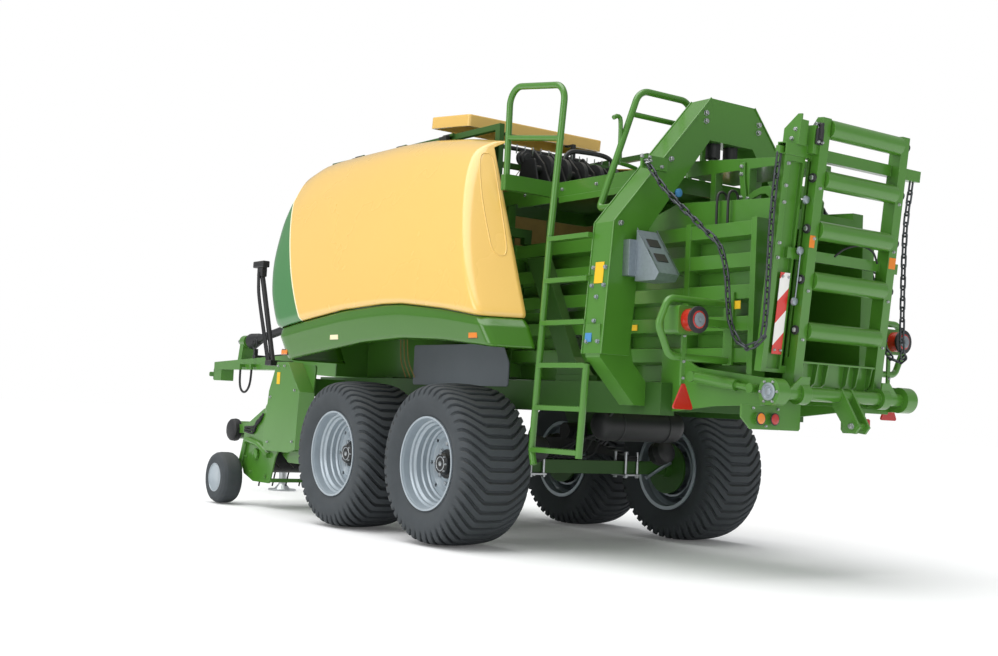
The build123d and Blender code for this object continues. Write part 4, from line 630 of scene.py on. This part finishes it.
# The low board's two round lamps are half the size of the upper ones.
low_lamps = (("lamp_amber", 598, AMBER_LENS), ("lamp_red_low", 489, RED_LENS))
small = [(along * 0.5, radius * 0.5) for along, radius in LENS]
for name, y, finish in low_lamps:
    piece(name, revolved(small, (-2819, y, 900), REARWARD, 28), "chassis", finish)
square = joined(box(-2840, -2831, -283, -229, 871, 923, 4), box(-2836, -2800, -280, -232, 865, 929, 5))
piece("lamp_box_right", square, "chassis", RED_LENS)
rims = joined(*[hoop((-2820, y, 900), REARWARD, 31, 3.5) for y in (489, 598)])
piece("lamp_rims", rims, "chassis", BLACK)
spots = [(-2800, 450, 955), (-2800, 640, 955), (-2800, 540, 862),
         (-2800, -208, 870), (-2800, -105, 985), (-2800, -208, 985)]
piece("plate_bolts", bolts(spots, REARWARD, 12), "chassis", STEEL)


# Chute

# The folded chute stands on its pivot and leans back by this angle.
LEAN = radians(6.06)
PIVOT_X = -2858
PIVOT_Z = 1046
# How far up the chute its rollers lie, and how far out their bearings are.
STATIONS = 342 + 277 * np.arange(5)
BEARING = 372


def on_chute(shape):
    """A shape made in the folded chute's own frame (up along it, across the machine, and
    to the rear) put in its place: a turn by the lean, and a shift to the pivot."""
    points, blocks = shape
    s, y, z = points.T
    x = PIVOT_X - s * sin(LEAN) - z * cos(LEAN)
    height = PIVOT_Z + s * cos(LEAN) - z * sin(LEAN)
    return np.stack([x, y, height], -1), blocks


board = box(200, 645, 426, 502, -94, -89, 1.5)
piece("striped_board", on_chute(board), "chute", BOARD)
board_bolts = bolts([(s, y, -89) for s in (222, 623) for y in (440, 488)], (0, 0, 1), 12)
post_bolts = bolts([(s, 540, -93) for s in (720, 800, 1020, 1110, 1230)], (0, 0, 1), 16)
bearing_nuts = [bolts([(s, side * BEARING, -55) for s in STATIONS], (0, side, 0), 26) for side in (1, -1)]
bar_bolts = bolts([(s, y, -30) for s in (292, 560, 846, 1120) for y in (340, -340)], (0, 0, 1), 14)
fittings = joined(board_bolts, *bearing_nuts, post_bolts, bar_bolts)
piece("chute_bolts", on_chute(fittings), "chute", STEEL)
WASHER = [(0, 24), (3, 26), (10, 26), (12, 22)]
washers = joined(*[revolved(WASHER, (s, side * BEARING, -55), (0, side, 0), 24)
                   for s in STATIONS for side in (1, -1)])
piece("roller_bushes", on_chute(washers), "chute", BLACK)
sockets = joined(*[revolved([(0, 22), (3, 24), (16, 20), (18, 12)], (s, 400, -70), (0, 0, 1), 24)
                   for s in (495, 772, 1050)])
rod = tube([(480, 400, -60), (620, 398, -60), (772, 400, -60)], 4, 8)
piece("chute_fittings", on_chute(joined(sockets, rod)), "chute", ZINC)
pads = joined(box(795, 862, 330, 372, -31, -28.5, 0.8), box(748, 812, -371, -312, -31, -28.5, 0.8))
piece("chute_stickers", on_chute(pads), "chute", ORANGE_FILM)
latch = joined(box(1352, 1438, 352, 408, -44, -28, 5), box(1380, 1470, 372, 392, -34, -16, 4))
piece("latch_block", on_chute(latch), "chute", BLACK)
pins = joined(revolved([(0, 10), (2, 12), (54, 12), (56, 10)], (1462, 352, -52), (0, 1, 0), 20),
              bolts([(1366, 365, -28), (1366, 395, -28)], (0, 0, 1), 13),
              bolts([(1370, 502, -120), (1420, 502, -100)], (0, 1, 0), 18),
              bolts([(-150, 42, 130), (0, 44, 0)], (0, 1, 0), 26), bolts([(-150, -76, 130)], (0, -1, 0), 26))
piece("latch_pins", on_chute(pins), "chute", STEEL)
wire = smooth_line([(770, 120, -60), (820, 60, -45), (850, -60, -42), (830, -180, -48), (770, -250, -62)], 40)
piece("chute_wire", on_chute(tube(wire, 6, 10)), "chute", HOSE)

PIVOT_CAP = [(0, 44), (3, 48), (9, 48), (11, 36), (5, 33), (5, 22), (10, 19), (12, 8)]
for word, side in SIDES:
    out = (0, side, 0)
    cap = revolved(PIVOT_CAP, (PIVOT_X, side * 585, PIVOT_Z), out, 40)
    piece("pivot_cap_" + word, cap, "chassis", ZINC)
    ring = around((PIVOT_X, side * 587, PIVOT_Z), radius=60, count=6)
    piece("pivot_bolts_" + word, bolts(ring, out, 12), "chassis", STEEL)


# Chains

def chain(path, pitch, wire, wide, steps=24, sides=8):
    """Oval links along a path, each a round wire carried round a stretched ring, and each
    turned a quarter against the last."""
    length = np.linalg.norm(np.diff(path, axis=0), axis=1).sum()
    count = int(round(length / pitch))
    fine = smooth_line(path, count * 2 + 1)
    centre, ahead = fine[1::2], fine[2::2] - fine[:-2:2]
    reach = np.linalg.norm(ahead, axis=1)[:, None, None]
    ahead /= np.linalg.norm(ahead, axis=1)[:, None]
    across = np.cross(ahead, (0, 1, 0))
    across /= np.linalg.norm(across, axis=1)[:, None]
    other = np.cross(ahead, across)
    odd = (np.arange(count) % 2)[:, None]
    flat, deep = np.where(odd, across, other), np.where(odd, other, across)
    big = ((np.arange(steps) + 0.5) * 2 * pi / steps)[None, :, None]
    small = (np.arange(sides) * 2 * pi / sides)[None, None, :]
    bend = (wide - wire) / 2
    straight = reach / 2 + wire * 0.9 - bend
    ring = bend + wire / 2 * np.cos(small)
    u = ring * np.cos(big)
    v = ring * np.sin(big) + straight * np.sign(np.sin(big))
    w = wire / 2 * np.sin(small) + 0 * u
    points = (centre[:, None, None] + u[..., None] * flat[:, None, None]
              + v[..., None] * ahead[:, None, None] + w[..., None] * deep[:, None, None])
    first = np.arange(count)[:, None, None] * steps * sides
    faces = grid_faces(steps, sides, True, True)[None] + first
    return points.reshape(-1, 3), [faces.reshape(-1, 4)]


# Each chain hangs from the arch and climbs to two points of the chute, which are at
# different distances from the middle on the two sides.
for word, side, hang in (("left", 1, 592), ("right", -1, -540)):
    tip, _ = on_chute((np.array([[948, hang, -118], [1278, hang, -118]], float), []))
    hanging = np.array([(-1949, 715, 2385), (-2010, 716, 2316), (-2092, 712, 2223), (-2199, 705, 2126),
                        (-2321, 700, 2029), (-2425, 680, 1937), (-2511, 660, 1860), (-2557, 655, 1763),
                        (-2583, 652, 1651), (-2594, 650, 1541), (-2613, 648, 1430), (-2658, 645, 1337),
                        (-2722, 640, 1287), (-2788, 632, 1300), (-2830, abs(hang) + 16, 1400)]) * (1, side, 1)
    line = smooth_line(np.concatenate([hanging, tip]), 240)
    links = piece("chain_links_" + word, chain(line, pitch=62, wire=12, wide=40), None, CHAIN,
                  ["chain_" + word], sharp=60)
    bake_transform(links)
    cheeks = [tube([(-1940, side * y, 2385), (-1962, side * y, 2385), (-1984, side * y, 2380)], 6)
              for y in (700, 730)]
    heads = [(-1948, side * 690, 2405), (-1948, side * 750, 2405), (-1948, side * 590, 2362)]
    shackle = joined(hoop((-1968, side * 715, 2372), (0, 0.3, 1), 17, 6), *cheeks, bolts(heads, REARWARD, 18))
    piece("chain_shackle_" + word, shackle, "chassis", STEEL)


# Arch, deck and chamber

# The arch's outer faces, as (across, up) at the foot, the knee and the shoulder.
ARCH_EDGE = np.array([(985, 1230), (930, 2000), (190, 2850)], float)
ARCH_REAR = -1935
ARCH_FRONT = -1767
LIP = 3


def leg_face(z):
    """How far out the arch leg's outer face is at a height: straight from foot to knee."""
    return np.interp(z, ARCH_EDGE[:2, 1], ARCH_EDGE[:2, 0])


spots = [(ARCH_REAR, side * y, z) for side in (1, -1)
         for y, z in ((231, 2750), (229, 2700), (506, 2425), (880, 1995))]
piece("arch_bolts", bolts(spots, REARWARD, 26), "chassis", STEEL)
cap = revolved([(0, 24), (3, 26), (14, 26), (17, 20)], (ARCH_REAR, 438, 2229), REARWARD, 28)
piece("arch_cap", cap, "chassis", BLUE_FILM)

CLAW = [(-2262, 2410), (-2262, 2330), (-2282, 2200), (-2340, 2232), (-2400, 2248), (-2470, 2248),
        (-2505, 2200), (-2500, 2130), (-2455, 2078), (-2432, 2086), (-2462, 2136), (-2462, 2182),
        (-2436, 2204), (-2392, 2204), (-2330, 2184), (-2272, 2150), (-2240, 2180), (-2222, 2330),
        (-2222, 2410)]
# The upper edge of a wheel chock's slope, as (along, up) at its top and its foot.
CHOCK_SLOPE = np.array([(-1990, 1960), (-2190, 1700)], float)

for word, side in SIDES:
    out = (0, side, 0)
    run = np.diff(ARCH_EDGE, axis=0)
    away = np.stack([run[:, 1], -run[:, 0]], -1) / np.linalg.norm(run, axis=1)[:, None]
    lips = []
    for start, end, normal in zip(ARCH_EDGE[:-1], ARCH_EDGE[1:], away):
        (y0, z0), (y1, z1) = start + 2 * normal, end + 2 * normal
        for x in (ARCH_REAR - LIP, ARCH_FRONT + LIP):
            lips.append(tube([(x, side * y0, z0), (x, side * y1, z1)], 5, 10))
    piece("arch_edge_" + word, joined(*lips), "chassis", GREEN)
    outline = [(side * (leg_face(z) + grow), z) for z, grow in
               ((1640, 1), (1640, 3.5), (1765, 3.5), (1765, 1))]
    sticker = prism(outline, -1890, -1812, axis=0, edge=0.5)
    piece("leg_sticker_" + word, sticker, "chassis", YELLOW_FILM)
    spots = [(x, side * (leg_face(z) + 1), z) for x, z in
             ((-1800, 1732), (-1906, 1732), (-1800, 1627), (-1906, 1627),
              (-1850, 1560), (-1850, 1420), (-1800, 1300), (-1900, 1300))]
    piece("leg_bolts_" + word, bolts(spots, (0, side, 0.07), 20), "chassis", ZINC)
    outline = [(side * 983, 1298), (side * 987, 1298), (side * 984, 1350), (side * 980, 1350)]
    plate = prism(outline, -1842, -1785, axis=0, edge=0.5)
    piece("leg_plate_" + word, plate, "chassis", BLUE_FILM)

    slots = []
    for share in (0.28, 0.62):
        x, z = CHOCK_SLOPE[0] + (CHOCK_SLOPE[1] - CHOCK_SLOPE[0]) * share
        outline = [(x + 14, z + 20), (x + 12, z + 22), (x - 24, z - 25), (x - 22, z - 27)]
        slots.append(prism(outline, *sorted((side * 676, side * 764)), edge=0.4))
    piece("chock_slots_" + word, joined(*slots), "chassis", BLACK)
    outline = [(-1994, 1966), (-2194, 1706), (-2198, 1700), (-1990, 1972)]
    folds = joined(*[prism(outline, *sorted((side * y, side * (y + 6))), edge=0.6) for y in (640, 794)])
    piece("chock_folds_" + word, folds, "chassis", ZINC)

    claw = prism(CLAW, *sorted((side * 202, side * 216)), edge=2)
    piece("hook_claw_" + word, claw, "chassis", GREEN)
    spots = [(x, side * 217, z) for x, z in ((-2242, 2385), (-2242, 2340), (-2242, 2200), (-2300, 2188))]
    piece("claw_bolts_" + word, bolts(spots, out, 18), "chassis", STEEL)
    rods = [tube(smooth_line([(x, side * 420, 1990), (x, side * 420, 2150), (x, side * 408, 2196),
                              (x, side * 380, 2208), (x, side * 352, 2196), (x, side * 340, 2150),
                              (x, side * 340, 1990)], 40), 8, 10) for x in (-2251, -2340)]
    piece("flap_rods_" + word, joined(*rods), "chassis", BLACK)
    stickers = joined(box(-2550, -2460, side * 504, side * 507, 1506, 1552, 0.8),
                      box(-1700, -1620, side * 504, side * 507, 1400, 1436, 0.8))
    piece("rib_stickers_" + word, stickers, "chassis", YELLOW_FILM)

    rail = smooth_line([(-1620, side * 700, 2690), (-1620, side * 660, 2705), (-1620, side * 640, 2660),
                        (-1620, side * 636, 2410)], 24)
    foot = [(-1622, side * 640, 2420), (-1625, side * 560, 2412), (-1627, side * 504, 2402)]
    piece("rail_upright_" + word, joined(tube(rail, 14), tube(foot, 13)), "chassis", GREEN)
    spots = [(x, side * 501, 2350) for x in (-120, -500, -900, -1250, -1600)]
    piece("deck_bolts_" + word, bolts(spots, out, 18), "chassis", STEEL)
    board = joined(box(-1645, -870, side * 500, side * 506, 2262, 2304, 2),
                   box(-830, -420, side * 500, side * 505, 2270, 2392, 2))
    piece("toe_board_" + word, board, "chassis", GREEN)
    fold = joined(*[box(x, x + 18, side * 918, side * 934, 2296, 2398, 3) for x in (-848, -822)])
    piece("deck_end_" + word, fold, "chassis", GREEN)

# Teeth stand in a row on each rung; the ladder leans, so each row starts a little further back.
FIRST_RUNG = 650
RUNG_STEP = 256
teeth = joined(*[box(x - 3, x + 3, 942, 978, z + 13, z + 18, 1)
                 for z in FIRST_RUNG + RUNG_STEP * np.arange(5)
                 for x in np.arange(-1720, -1310, 26) - (z - FIRST_RUNG) * 0.066])
piece("rung_teeth", teeth, "chassis", GREEN)


# Knotters and twine

DRUM = [(0, 40), (3, 52), (26, 56), (30, 56), (34, 46), (62, 46), (66, 30), (74, 28)]
drums = joined(*[revolved(DRUM, (-318, y, 2640), REARWARD, 28)
                 for y in (416, 283, 148, 14, -120, -254, -388)])
piece("tension_drums", drums, "chassis", BLACK)
springs = joined(*[tube([(-352, y, 2662), (-366, y + 6, 2690), (-372, y + 10, 2722)], 4, 8)
                   for y in np.linspace(490, -420, 14)])
piece("needle_springs", springs, "chassis", STEEL)
cross = smooth_line([(-340, 60, 2640), (-345, 50, 2700), (-350, 0, 2748), (-350, -120, 2762),
                     (-350, -300, 2762), (-350, -380, 2730), (-350, -420, 2650)], 50)
straight = [(-392, 440, 2600), (-392, 0, 2600), (-392, -440, 2600)]
piece("knotter_tube", joined(tube(cross, 17, 16), tube(straight, 14)), "chassis", BLACK)
boxes = joined(box(-400, -300, -390, -170, 2620, 2684, 8), box(-395, -310, -150, -60, 2600, 2660, 6))
# The knotter box takes the green darkened as painted shade.
piece("knotter_box", boxes, "chassis", GREEN_PAINTED_SHADE)
twine = joined(*[tube(smooth_line([(-330, y, 2600), (-180, y + 8, 2480), (-40, y, 2420),
                                   (40, y - 6, 2412)], 24), 3, 6) for y in np.linspace(400, -400, 10)])
piece("twine_runs", twine, "chassis", TWINE)
ropes = joined(*[tube(smooth_line([(792 - k * 46, side * 640, 1371), (750 - k * 52, side * 652, 1210),
                                   (692 - k * 60, side * 640, 1090)], 20), 4, 8)
                 for k in range(3) for side in (1, -1)])
piece("twine_ropes", ropes, "chassis", TWINE)


# Running gear

# The leaf springs' middle line is this far out; bows hold the axle to it, one at each corner.
SPRING_LINE = 420
BOW = 54
BRAKE_POT = [(0, 30), (4, 76), (20, 84), (60, 84), (66, 88), (72, 84), (112, 80), (126, 60), (130, 24)]

for end, x in (("front_", AXLE), ("rear_", -AXLE)):
    for word, side in SIDES:
        name = end + word
        corners = [(x + dx, side * (SPRING_LINE + dy)) for dx in (-BOW, BOW) for dy in (-BOW, BOW)]
        bows = joined(*[tube(smooth_line([(*spot, 630), (*spot, 520), (*spot, 466)], 12), 11)
                        for spot in corners])
        nuts = bolts([(*spot, 466) for spot in corners], (0, 0, -1), 26)
        low = box(x - 76, x + 76, side * (SPRING_LINE - 70), side * (SPRING_LINE + 70), 462, 474, 3)
        piece("axle_clamp_" + name, joined(bows, nuts, low), "chassis", STEEL)
        pot = revolved(BRAKE_POT, (x - 150, side * 560, 620), (-0.9, 0, 0.25), 32)
        piece("brake_pot_" + name, pot, "chassis", BLACK)
        push = [(x - 60, side * 640, 560), (x - 110, side * 600, 590), (x - 160, side * 562, 622)]
        lever = [(x - 60, side * 560, 450), (x - 60, side * 700, 520), (x - 60, side * 790, 560)]
        rods = joined(tube(push, 8), tube(lever, 13))
        piece("brake_rod_" + name, rods, "chassis", ZINC)


# Front end

# The pick-up's side shields: their outline as (along, up), and the rear edge that folds inwards.
SHIELD = [(1970, 1184), (1790, 1184), (1570, 950), (1590, 500), (1720, 470), (2130, 470), (2150, 560),
          (2090, 950)]
SHIELD_REAR = SHIELD[1:4]
SHIELD_FACES = [(1050, 1056), (1056, 1058)]
FOLD_FACES = np.array([[0, 2, 3, 1], [2, 4, 5, 3], [6, 7, 9, 8], [8, 9, 11, 10], [0, 1, 7, 6],
                       [4, 10, 11, 5], [0, 6, 8, 2], [2, 8, 10, 4], [1, 3, 9, 7], [3, 5, 11, 9]])
GAUGE_AXLE = (2650, 216)
GAUGE_DISH = [(0, 112), (4, 118), (6, 112), (-22, 100), (-22, 46), (-8, 42), (-8, 18)]
ROLLER_CAP = [(-20, 78), (-18, 92), (0, 96), (34, 92), (48, 78), (54, 50), (56, 20)]

for word, side in SIDES:
    out = (0, side, 0)
    wing = np.array([[(x, side * 1053, z), (x - 70, side * 958, z - 6)] for x, z in SHIELD_REAR], float)
    wing = wing.reshape(-1, 3)
    fold = (np.concatenate([wing, wing + (5, 0, 0)]), [FOLD_FACES])
    sheet, film = [sorted((side * inner, side * outer)) for inner, outer in SHIELD_FACES]
    piece("side_shield_" + word, joined(prism(SHIELD, *sheet), fold), "chassis", GREEN)
    sticker = prism([(1960, 1100), (1905, 1100), (1905, 1005), (1960, 1005)], *film, edge=0.5)
    piece("shield_sticker_" + word, sticker, "chassis", YELLOW_FILM)
    spots = [(x, side * 1057, z) for x, z in
             ((1940, 1150), (1830, 1150), (1640, 960), (1640, 560), (2060, 540), (2050, 900))]
    piece("shield_bolts_" + word, bolts(spots, out, 16), "chassis", STEEL)

    x, z = GAUGE_AXLE
    dish = revolved(GAUGE_DISH, (x, side * 1226, z), out, 40)
    piece("gauge_rim_" + word, dish, "gauge_" + word, SILVER)
    ring = around((x, side * 1204, z), radius=70, count=5)
    piece("gauge_bolts_" + word, bolts(ring, out, 15), "gauge_" + word, STEEL)
    cap = revolved(ROLLER_CAP, (2790, side * 1000, 610), out, 36)
    piece("roller_cap_" + word, cap, "pickup", PLASTIC)
    spots = [(x, side * 1014, z) for x, z in
             ((1960, 780), (2200, 640), (2420, 600), (2520, 400), (2420, 280), (2150, 260))]
    drive = joined(revolved([(0, 40), (4, 46), (22, 46), (26, 40)], (2330, side * 1013, 430), out, 32),
                   revolved([(0, 40), (3, 46), (16, 46), (19, 40)], (2140, side * 1013, 800), out, 28),
                   bolts(spots, out, 20))
    piece("pickup_bearings_" + word, drive, "pickup", GREEN)
    hoses = [tube(smooth_line([(2240 + k * 26, side * (1019 + 6 * (k % 2)), 760 - k * 22),
                               (2300 + k * 20, side * 1026, 690), (2400, side * 1024, 650 - k * 24),
                               (2560, side * 1022, 640 - k * 16)], 30), 9, 10) for k in range(3)]
    piece("pickup_hoses_" + word, joined(*hoses), "pickup", HOSE)

# A leaning post on a bracket of the drawbar, with a guide for its hoses at the top.
stand = joined(tube([(3560, 300, 1210), (3640, 300, 1420), (3850, 300, 1960), (3920, 300, 2130)], 24, 16),
               box(3820, 4030, 262, 338, 2130, 2190, 8), box(3850, 3950, 270, 330, 2040, 2132, 8),
               box(3515, 3630, 80, 350, 1195, 1245, 6))
piece("filter_stand", stand, "chassis", BLACK)
coils = joined(*[tube(smooth_line([(3560 + 26 * k, 335, 1215), (3700 + 20 * k, 345, 1560),
                                   (3840 + 16 * k, 340, 1860), (3900 + 10 * k, 330, 2080 - 20 * k)], 30),
                      9, 10) for k in range(3)])
piece("filter_hoses", coils, "chassis", HOSE)

# The brake system's air tank lies across the frame behind the axles.
TANK = [(0, 40), (10, 80), (30, 98), (60, 104), (640, 104), (670, 98), (690, 80), (700, 40)]
TANK_X = -1180
TANK_Z = 820
piece("air_tank", revolved(TANK, (TANK_X, -350, TANK_Z), (0, 1, 0), 40), "chassis", BLACK)
straps = [hoop((TANK_X, y, TANK_Z), (0, 1, 0), 105, 5) for y in (-200, 200)]
hangers = [box(TANK_X - 20, TANK_X + 20, y - 15, y + 15, 912, 960, 3) for y in (-200, 200)]
piece("tank_straps", joined(*straps, *hangers), "chassis", BLACK)
lines = [tube(smooth_line([(-1300 + 60 * k, 300 - 70 * k, 930), (-1150 + 50 * k, 330 - 60 * k, 760 - 20 * k),
                           (-900, 300 - 60 * k, 700 + 20 * k), (-680, 320 - 90 * k, 610),
                           (-607, 360 - 60 * k, 572)], 40), 9, 10) for k in range(5)]
piece("brake_lines", joined(*lines), "chassis", HOSE)


# Hose

# The hanging hose's control points in the layout, in metres, from gland to gland.
ROUTE = [(4.350, 0.135, 1.1646), (4.351, 0.136, 1.062), (4.386, 0.140, 0.973), (4.470, 0.143, 0.932),
         (4.562, 0.141, 0.971), (4.601, 0.137, 1.060), (4.600, 0.135, 1.1646)]

curve = bpy.data.curves.new("hose_line", "CURVE")
curve.dimensions = "3D"
curve.bevel_depth = 0.011
curve.bevel_resolution = 6
curve.resolution_u = 16
spline = curve.splines.new("NURBS")
route = np.array(ROUTE) - (SHIFT, 0, 0)
spline.points.add(len(route) - 1)
spline.points.foreach_set("co", np.c_[route, np.ones(len(route))].ravel())
spline.order_u = 3
spline.use_endpoint_u = True
curve.materials.append(HOSE)
hose = bpy.data.objects.new("hose_line", curve)
bpy.context.scene.collection.objects.link(hose)
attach(hose, "chassis")
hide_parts("hose_loop")


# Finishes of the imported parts

FINISHES = {
    # The dark_green slot takes the green darkened as painted shade.
    "body_green": GREEN, "dark_green": GREEN_PAINTED_SHADE, "hood_yellow": YELLOW, "skirt_green": SKIRT,
    "tyre": RUBBER, "rim_silver": SILVER, "black_steel": BLACK, "cast": CAST, "bare_steel": STEEL,
    "galvanised": ZINC, "panel_grey": GREY, "hose": HOSE, "guard_black": PLASTIC,
    "lamp_red": RED_LENS,
}
slots = {row["node"]: row["material_slot"] for row in frame["record"]["subparts"]}
for name, node in frame["nodes"].items():
    node.data.materials.clear()
    node.data.materials.append(FINISHES[slots[name]])


# Stage, light and camera

FLOOR_RADIUS = 90
FLOOR_GLOW = 0.07
SKY_STRENGTH = 0.44

# The floor is white to the camera and in reflections by a little light of its own.
floor_finish, tree, out = blank("studio_floor")
path = add(tree, "LightPath")
seen = add(tree, "Math", {0: path.outputs["Is Camera Ray"], 1: path.outputs["Is Glossy Ray"]},
           operation="MAXIMUM").outputs["Value"]
ground = add(tree, "BsdfDiffuse", {"Color": (0.9, 0.9, 0.9, 1)})
glow = add(tree, "Emission", {"Color": (1, 1, 1, 1), "Strength": FLOOR_GLOW})
lift = add(tree, "AddShader", {0: ground.outputs[0], 1: glow.outputs[0]})
mixed = add(tree, "MixShader", {0: seen, 1: ground.outputs[0], 2: lift.outputs[0]})
tree.links.new(mixed.outputs[0], out.inputs["Surface"])
ground_mesh = bpy.data.meshes.new("studio_floor")
turn = np.arange(64) * 2 * pi / 64
rim = np.stack([FLOOR_RADIUS * np.cos(turn), FLOOR_RADIUS * np.sin(turn), 0 * turn], -1)
ground_mesh.from_pydata(rim.tolist(), [], [list(range(64))])
ground_mesh.materials.append(floor_finish)
studio_floor = bpy.data.objects.new("studio_floor", ground_mesh)
bpy.context.scene.collection.objects.link(studio_floor)

# A soft sky lights the machine; the camera sees it as white.
world = bpy.data.worlds.new("studio")
bpy.context.scene.world = world
world.use_nodes = True
tree = world.node_tree
tree.nodes.clear()
path = add(tree, "LightPath")
seen = add(tree, "Math", {0: path.outputs["Is Camera Ray"], 1: path.outputs["Is Transmission Ray"]},
           operation="MAXIMUM").outputs["Value"]
sky = add(tree, "Background", {"Color": (0.96, 0.98, 1.0, 1), "Strength": SKY_STRENGTH})
white = add(tree, "Background", {"Color": (1, 1, 1, 1), "Strength": 1.0})
mixed = add(tree, "MixShader", {0: seen, 1: sky.outputs[0], 2: white.outputs[0]})
tree.links.new(mixed.outputs[0], add(tree, "OutputWorld").inputs["Surface"])


def light(kind, name, place, energy, **settings):
    """A lamp of a kind at a place, turned to the middle of the machine."""
    data = bpy.data.lights.new(name, kind)
    data.energy = energy
    for key, value in settings.items():
        setattr(data, key, value)
    made = bpy.data.objects.new(name, data)
    bpy.context.scene.collection.objects.link(made)
    made.location = place
    made.rotation_euler = (Vector((0, 0, 1.2)) - Vector(place)).to_track_quat("-Z", "Y").to_euler()


light("SUN", "key", (1.0, 2.2, 10.0), 2.3, angle=radians(60))
light("AREA", "side", (-1.0, 13.0, 6.0), 520, size=7.0)
light("AREA", "fill", (-12.0, 3.0, 4.0), 120, size=5.0)

# The camera stands behind and to the left of the machine, as the photograph was taken:
# its place in metres, and the axes of its view from yaw, pitch and roll.
CAMERA_PLACE = (-7.8505 - SHIFT, 5.9961, 0.8719)
yaw, pitch, roll = radians(53.859), radians(3.4585), radians(2.7454)
ahead = np.array([sin(yaw) * cos(pitch), -cos(yaw) * cos(pitch), sin(pitch)])
level = np.array([-cos(yaw), -sin(yaw), 0.0])
above = np.cross(level, ahead)
across = cos(roll) * level + sin(roll) * above
upward = -sin(roll) * level + cos(roll) * above
optics = bpy.data.cameras.new("camera")
optics.lens = 48.85
optics.sensor_width = 36
optics.shift_x = -0.0053
optics.shift_y = 0.0017
optics.clip_end = 300
camera = bpy.data.objects.new("camera", optics)
bpy.context.scene.collection.objects.link(camera)
axes = np.stack([across, upward, -ahead], 1).tolist()
camera.matrix_world = Matrix([[*row, place] for row, place in zip(axes, CAMERA_PLACE)] + [[0, 0, 0, 1]])
bpy.context.scene.camera = camera
bpy.context.scene.view_settings.view_transform = "Standard"
